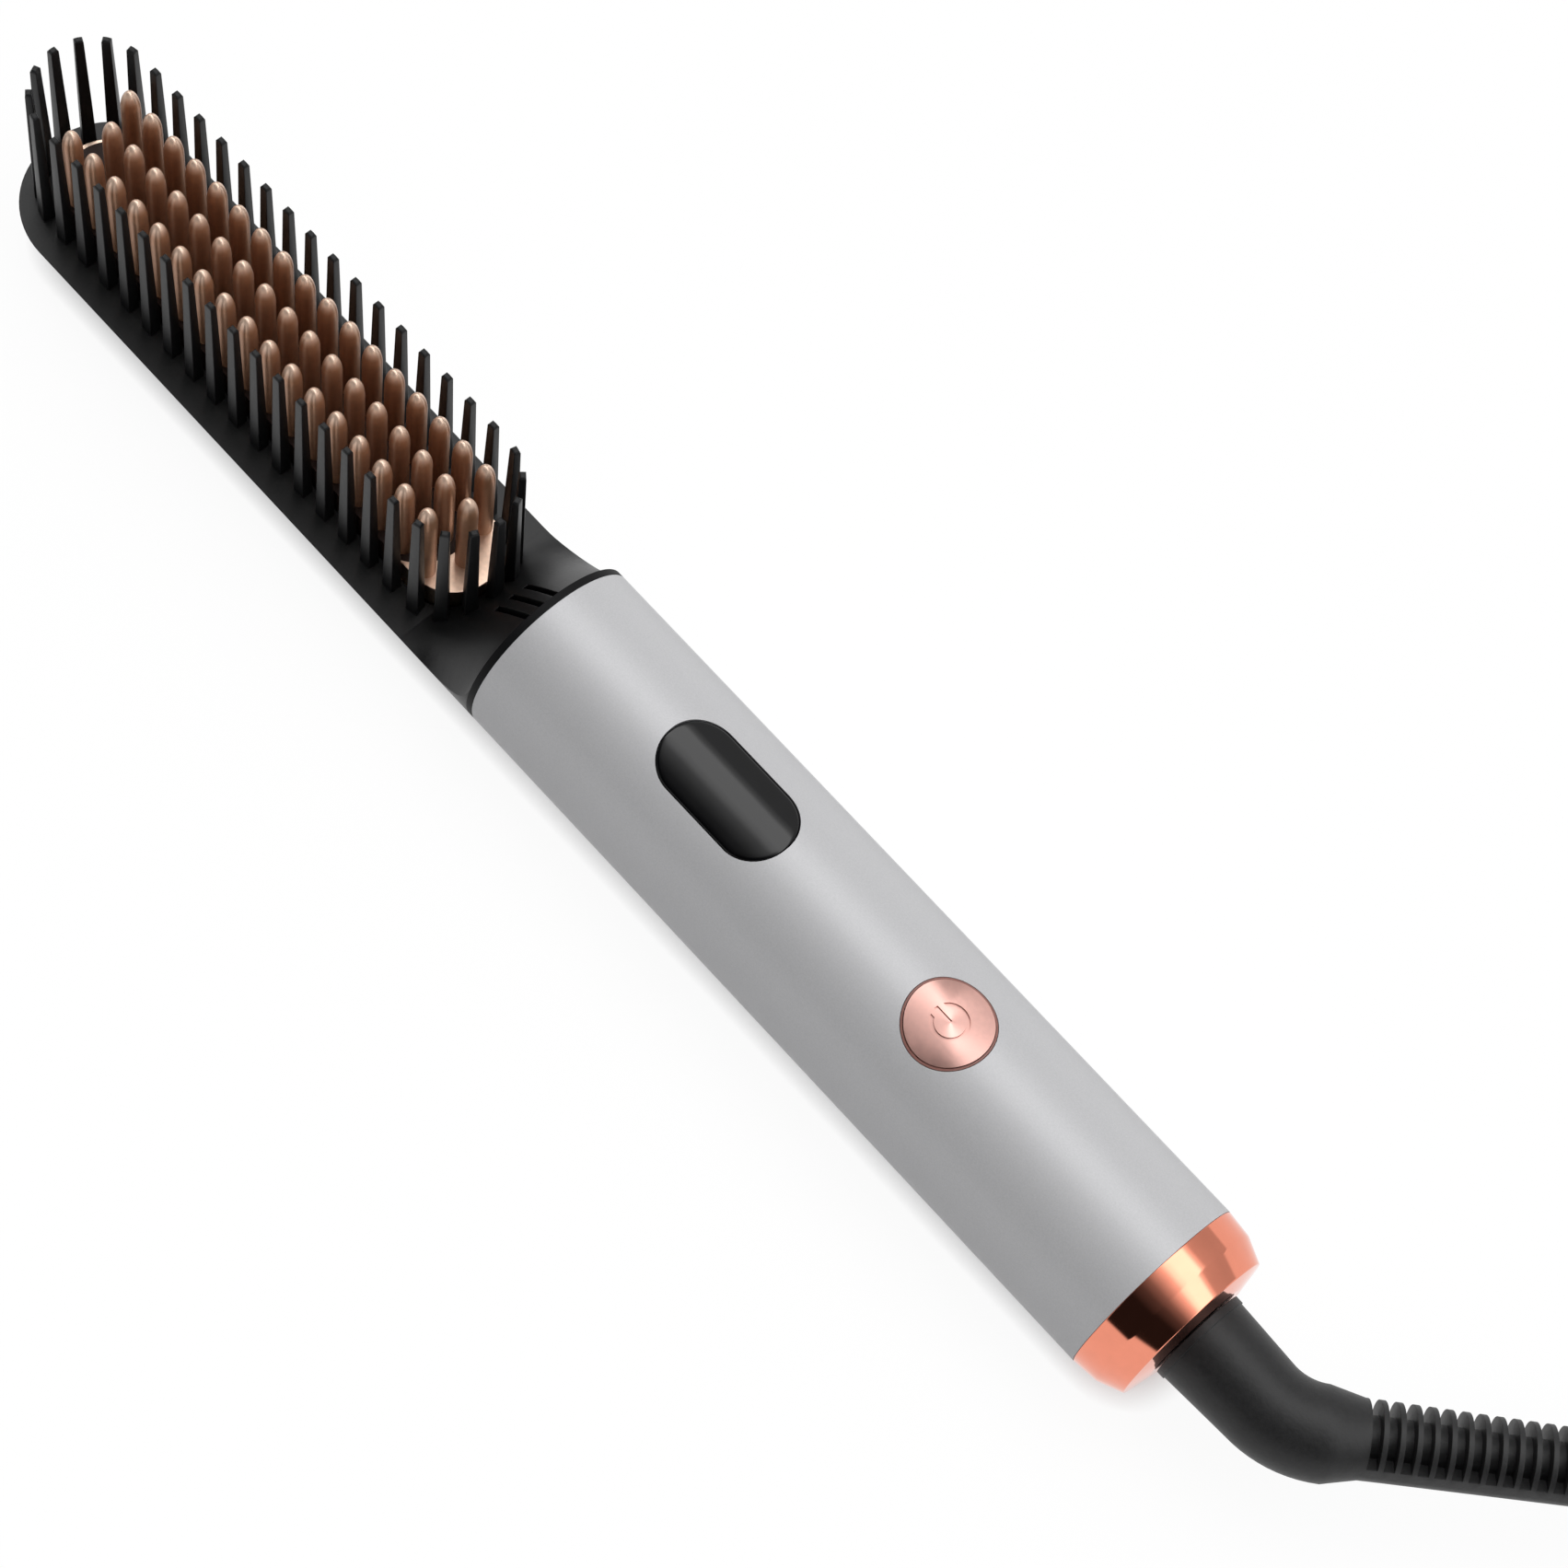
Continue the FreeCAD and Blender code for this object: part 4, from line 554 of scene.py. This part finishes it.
def spun_finish(name, colour, roughness, middle, groove):
    """Metal turned on a lathe: fine rings round a middle line, which stretch the gloss into sectors."""
    material = finish(
        name, colour, roughness=roughness, grain=0.0009, shade_spread=0.05, roughness_spread=0.05,
        bump_depth=0.0, metal=1.0)
    nodes = material.node_tree.nodes
    links = material.node_tree.links
    shader = nodes["Principled BSDF"]
    shader.inputs["Anisotropic"].default_value = 0.9
    shader.inputs["Anisotropic Rotation"].default_value = 0.36
    lathe = nodes.new("ShaderNodeTangent")
    lathe.direction_type = "RADIAL"
    lathe.axis = "Z"
    links.new(lathe.outputs["Tangent"], shader.inputs["Tangent"])
    place = nodes.new("ShaderNodeTexCoord")
    centred = nodes.new("ShaderNodeMapping")
    centred.inputs["Location"].default_value = -middle
    links.new(place.outputs["Object"], centred.inputs["Vector"])
    rings = nodes.new("ShaderNodeTexWave")
    rings.wave_type = "RINGS"
    rings.rings_direction = "Z"
    rings.inputs["Scale"].default_value = bands_apart(groove)
    rings.inputs["Distortion"].default_value = 1.5
    links.new(centred.outputs["Vector"], rings.inputs["Vector"])
    relief = nodes.new("ShaderNodeBump")
    relief.inputs["Distance"].default_value = groove / 60.0
    links.new(rings.outputs["Fac"], relief.inputs["Height"])
    links.new(relief.outputs["Normal"], shader.inputs["Normal"])
    return material


dress(spun_finish("button_rose_gold", (0.68, 0.40, 0.35), 0.40, button_middle, spun_groove), "power_button")

# The tail cap is a turned and polished metal ring, plated in rose gold. It has a straight band, a cone
# behind it and a flat end round the strain relief.
cap_start = 0.116625
cap_rounding = 0.00018
cap_outline = (
    (0.0, 0.01275), (0.0, 0.0150), (0.0042, 0.0146), (0.0080, 0.0130), (0.0088, 0.0085), (0.0088, 0.0049),
    (0.0066, 0.0049), (0.0066, 0.01275))
cap_steps = 160


def eased_outline(outline, rounding):
    """A closed outline with each corner cut into three points."""
    eased = []
    for index, corner in enumerate(outline):
        corner = Vector(corner)
        before = Vector(outline[index - 1]) - corner
        after = Vector(outline[(index + 1) % len(outline)]) - corner
        start = corner + before.normalized() * rounding
        end = corner + after.normalized() * rounding
        eased += [start, (start + end + 2.0 * corner) / 4.0, end]
    return eased


cap_profile = eased_outline(cap_outline, cap_rounding)
cap_ring = len(cap_profile)
cap_corners = []
for step in range(cap_steps):
    turn = 2.0 * math.pi * step / cap_steps
    cap_corners += [(cap_start + along, radius * math.sin(turn), tube_radius + radius * math.cos(turn))
                    for along, radius in cap_profile]
cap_faces = []
for step in range(cap_steps):
    after = (step + 1) % cap_steps
    for index in range(cap_ring):
        following = (index + 1) % cap_ring
        cap_faces.append((step * cap_ring + index, step * cap_ring + following,
                          after * cap_ring + following, after * cap_ring + index))
polished_cap = piece("polished_cap", cap_corners, cap_faces, smooth=True)
polished_cap.modifiers.new("even_shading", "WEIGHTED_NORMAL")
cap_rose_gold = finish(
    "cap_rose_gold", (0.84, 0.29, 0.19), roughness=0.08, grain=0.0030, shade_spread=0.03,
    roughness_spread=0.02, bump_depth=0.000002, metal=1.0)
polished_cap.data.materials.append(cap_rose_gold)
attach(polished_cap, "brush")
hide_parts("tail_cap")

# Inside the head, a white ceramic heater lies in the plate's channel under a spring-steel bar. Brass tabs
# join it to silicone leads, with a glass thermistor and a thermal fuse.
heater_ceramic = finish(
    "heater_ceramic", (0.80, 0.78, 0.74), roughness=0.5, grain=0.0010, shade_spread=0.04,
    roughness_spread=0.06, bump_depth=0.00001)
dress(heater_ceramic, "heater_element")
spring_steel = finish(
    "spring_steel", (0.42, 0.42, 0.43), roughness=0.32, grain=0.0008, shade_spread=0.10,
    roughness_spread=0.08, bump_depth=0.000005, metal=1.0)
dress(spring_steel, "pressure_bar", "swivel_clip", "board_screws")
contact_brass = finish(
    "contact_brass", (0.72, 0.48, 0.18), roughness=0.26, grain=0.0009, shade_spread=0.10,
    roughness_spread=0.07, bump_depth=0.000005, metal=1.0)
dress(contact_brass, "heater_terminals", "contact_rings", "contact_brushes")
thermistor_glass = finish(
    "thermistor_glass", (0.20, 0.10, 0.05), roughness=0.12, grain=0.0012, shade_spread=0.25,
    roughness_spread=0.04, bump_depth=0.000005)
dress(thermistor_glass, "thermistor")
heater_silicone = finish(
    "heater_silicone", (0.45, 0.030, 0.022), roughness=0.55, grain=0.0006, shade_spread=0.10,
    roughness_spread=0.06, bump_depth=0.00001)
dress(heater_silicone, "heater_leads")
sensor_silicone = finish(
    "sensor_silicone", (0.030, 0.090, 0.40), roughness=0.55, grain=0.0006, shade_spread=0.10,
    roughness_spread=0.06, bump_depth=0.00001)
dress(sensor_silicone, "sensor_lead")
fuse_steel = finish(
    "fuse_steel", (0.55, 0.55, 0.52), roughness=0.35, grain=0.0007, shade_spread=0.08,
    roughness_spread=0.06, bump_depth=0.000005, metal=0.9)
dress(fuse_steel, "thermal_fuse")

# Inside the handle, a white nylon chassis carries the circuit board, which holds the display, the
# controller, the triac and its capacitor, a glass fuse and the switch under the button.
chassis_nylon = finish(
    "chassis_nylon", (0.72, 0.72, 0.70), roughness=0.5, grain=0.0006, shade_spread=0.03,
    roughness_spread=0.05, bump_depth=0.00001)
dress(chassis_nylon, "inner_chassis", "swivel_socket")


def board_finish(name, mask, track, pitch):
    """Green solder mask over copper tracks, which show through as paler lines."""
    material = finish(
        name, mask, roughness=0.3, grain=0.002, shade_spread=0.1, roughness_spread=0.05, bump_depth=0.0)
    nodes = material.node_tree.nodes
    links = material.node_tree.links
    place = nodes.new("ShaderNodeTexCoord")
    tracks = nodes.new("ShaderNodeTexBrick")
    tracks.inputs["Color1"].default_value = (*mask, 1.0)
    tracks.inputs["Color2"].default_value = (*[part * 0.8 for part in mask], 1.0)
    tracks.inputs["Mortar"].default_value = (*track, 1.0)
    tracks.inputs["Scale"].default_value = 1.0 / pitch
    tracks.inputs["Mortar Size"].default_value = 0.06
    links.new(place.outputs["Object"], tracks.inputs["Vector"])
    links.new(tracks.outputs["Color"], nodes["Principled BSDF"].inputs["Base Color"])
    return material


dress(board_finish("board_mask", (0.012, 0.10, 0.035), (0.05, 0.22, 0.07), 0.0040), "circuit_board")
display_glass = finish(
    "display_glass", (0.015, 0.015, 0.018), roughness=0.12, grain=0.0020, shade_spread=0.2,
    roughness_spread=0.03, bump_depth=0.000002)
dress(display_glass, "display_module")
chip_epoxy = finish(
    "chip_epoxy", (0.020, 0.020, 0.021), roughness=0.6, grain=0.0003, shade_spread=0.15,
    roughness_spread=0.06, bump_depth=0.00001)
dress(chip_epoxy, "controller_chip", "triac")
capacitor_film = finish(
    "capacitor_film", (0.55, 0.42, 0.05), roughness=0.35, grain=0.0010, shade_spread=0.08,
    roughness_spread=0.05, bump_depth=0.000005)
dress(capacitor_film, "filter_capacitor")
fuse_glass = finish(
    "fuse_glass", (0.60, 0.62, 0.62), roughness=0.08, grain=0.0010, shade_spread=0.05,
    roughness_spread=0.03, bump_depth=0.000002)
dress(fuse_glass, "board_fuse")
switch_nylon = finish(
    "switch_nylon", (0.030, 0.030, 0.032), roughness=0.45, grain=0.0004, shade_spread=0.1,
    roughness_spread=0.05, bump_depth=0.00001)
dress(switch_nylon, "switch_housing")
plunger_nylon = finish(
    "plunger_nylon", (0.010, 0.010, 0.010), roughness=0.40, grain=0.0004, shade_spread=0.1,
    roughness_spread=0.05, bump_depth=0.00001)
dress(plunger_nylon, "switch_plunger")
mains_lead_sleeve = finish(
    "mains_lead_sleeve", (0.24, 0.10, 0.045), roughness=0.45, grain=0.0006, shade_spread=0.1,
    roughness_spread=0.05, bump_depth=0.00001)
dress(mains_lead_sleeve, "mains_leads")

# The table is a plain white sheet. It is brighter to the eye than its shadow alone would make it, except
# close to what lies on it.
floor_half = 6.0
floor_brightness = 0.94
contact_reach = 0.0056
floor_drop = 0.0001
floor_corners = [(-floor_half, -floor_half, 0.0), (floor_half, -floor_half, 0.0),
                 (floor_half, floor_half, 0.0), (-floor_half, floor_half, 0.0)]
floor = piece("table_sheet", floor_corners, [(0, 1, 2, 3)])
floor.location.z = -floor_drop
table_white = finish(
    "table_white", (0.90, 0.90, 0.90), roughness=0.8, grain=0.02, shade_spread=0.01,
    roughness_spread=0.02, bump_depth=0.0, gloss_level=0.1)
table_tree = table_white.node_tree
table_nodes = table_tree.nodes
table_links = table_tree.links
table_light = table_nodes.new("ShaderNodeEmission")
table_light.inputs["Color"].default_value = (1.0, 1.0, 1.0, 1.0)
table_light.inputs["Strength"].default_value = 1.0
table_path = table_nodes.new("ShaderNodeLightPath")
seen_or_mirrored = reckon(table_tree, "MAXIMUM", table_path.outputs["Is Camera Ray"],
                          table_path.outputs["Is Glossy Ray"])
seen_at_all = reckon(table_tree, "MAXIMUM", seen_or_mirrored, table_path.outputs["Is Transmission Ray"])
table_share = reckon(table_tree, "MULTIPLY", seen_at_all, floor_brightness)
table_contact = table_nodes.new("ShaderNodeAmbientOcclusion")
table_contact.inputs["Distance"].default_value = contact_reach
table_open = reckon(table_tree, "MULTIPLY", table_share, table_contact.outputs["AO"])
table_mix = table_nodes.new("ShaderNodeMixShader")
table_links.new(table_open, table_mix.inputs["Fac"])
table_links.new(table_nodes["Principled BSDF"].outputs["BSDF"], table_mix.inputs[1])
table_links.new(table_light.outputs["Emission"], table_mix.inputs[2])
table_links.new(table_mix.outputs["Shader"], table_nodes["Material Output"].inputs["Surface"])
floor.data.materials.append(table_white)

# The studio is a white room with one long soft light overhead, in line with the handle, and a dark wall
# behind the photographer. A white strip runs all round above the table, and a faint softbox fills the near
# side.
studio_strength = 3.0
studio_tones = (
    (-180.0, 0.26), (-90.0, 0.02), (-80.0, 0.006), (-40.0, 0.006), (-26.0, 0.03), (-16.0, 0.09), (-8.0, 0.22),
    (1.0, 0.42), (7.0, 0.82), (14.0, 1.0), (32.0, 1.0), (36.0, 0.50), (42.0, 0.24), (50.0, 0.22),
    (66.0, 0.20), (90.0, 0.20), (180.0, 0.20))
horizon_from = math.sin(math.radians(8.0))
horizon_to = math.sin(math.radians(12.0))
studio = bpy.data.worlds.new("studio")
bpy.context.scene.world = studio
studio.use_nodes = True
studio_nodes = studio.node_tree.nodes
studio_links = studio.node_tree.links
studio_light = studio_nodes["Background"]
studio_light.inputs["Strength"].default_value = studio_strength
direction = studio_nodes.new("ShaderNodeTexCoord")
parts = studio_nodes.new("ShaderNodeSeparateXYZ")
studio_links.new(direction.outputs["Generated"], parts.inputs["Vector"])
round_handle = reckon(studio.node_tree, "ARCTAN2", parts.outputs["Y"], parts.outputs["Z"])
whole_turn = studio_nodes.new("ShaderNodeMapRange")
whole_turn.inputs["From Min"].default_value = -math.pi
whole_turn.inputs["From Max"].default_value = math.pi
studio_links.new(round_handle, whole_turn.inputs["Value"])
tones = studio_nodes.new("ShaderNodeValToRGB")
for index, (degrees, tone) in enumerate(studio_tones):
    position = (degrees + 180.0) / 360.0
    if index < 2:
        stop = tones.color_ramp.elements[index]
        stop.position = position
    else:
        stop = tones.color_ramp.elements.new(position)
    stop.color = (tone, tone, tone, 1.0)
studio_links.new(whole_turn.outputs["Result"], tones.inputs["Fac"])
above_horizon = studio_nodes.new("ShaderNodeMapRange")
above_horizon.interpolation_type = "SMOOTHSTEP"
above_horizon.inputs["From Min"].default_value = horizon_from
above_horizon.inputs["From Max"].default_value = horizon_to
studio_links.new(parts.outputs["Z"], above_horizon.inputs["Value"])
studio_links.new(tones.outputs["Color"], studio_light.inputs["Color"])
white_strip = studio_nodes.new("ShaderNodeBackground")
white_strip.inputs["Color"].default_value = (1.0, 1.0, 1.0, 1.0)
white_strip.inputs["Strength"].default_value = 1.0
room = studio_nodes.new("ShaderNodeMixShader")
studio_links.new(above_horizon.outputs["Result"], room.inputs["Fac"])
studio_links.new(white_strip.outputs["Background"], room.inputs[1])
studio_links.new(studio_light.outputs["Background"], room.inputs[2])
studio_links.new(room.outputs["Shader"], studio_nodes["World Output"].inputs["Surface"])
fill_distance = 1.0
fill_angle = math.radians(-32.0)
fill_lamp = bpy.data.lights.new("fill_softbox", "AREA")
fill_lamp.shape = "DISK"
fill_lamp.size = 0.7
fill_lamp.energy = 1.0
fill_light = bpy.data.objects.new("fill_softbox", fill_lamp)
fill_light.location = camera_aim + fill_distance * Vector((0.0, math.sin(fill_angle), math.cos(fill_angle)))
fill_light.rotation_euler.x = -fill_angle
fill_light.visible_glossy = False
bpy.context.scene.collection.objects.link(fill_light)
bpy.context.scene.view_settings.view_transform = "Standard"
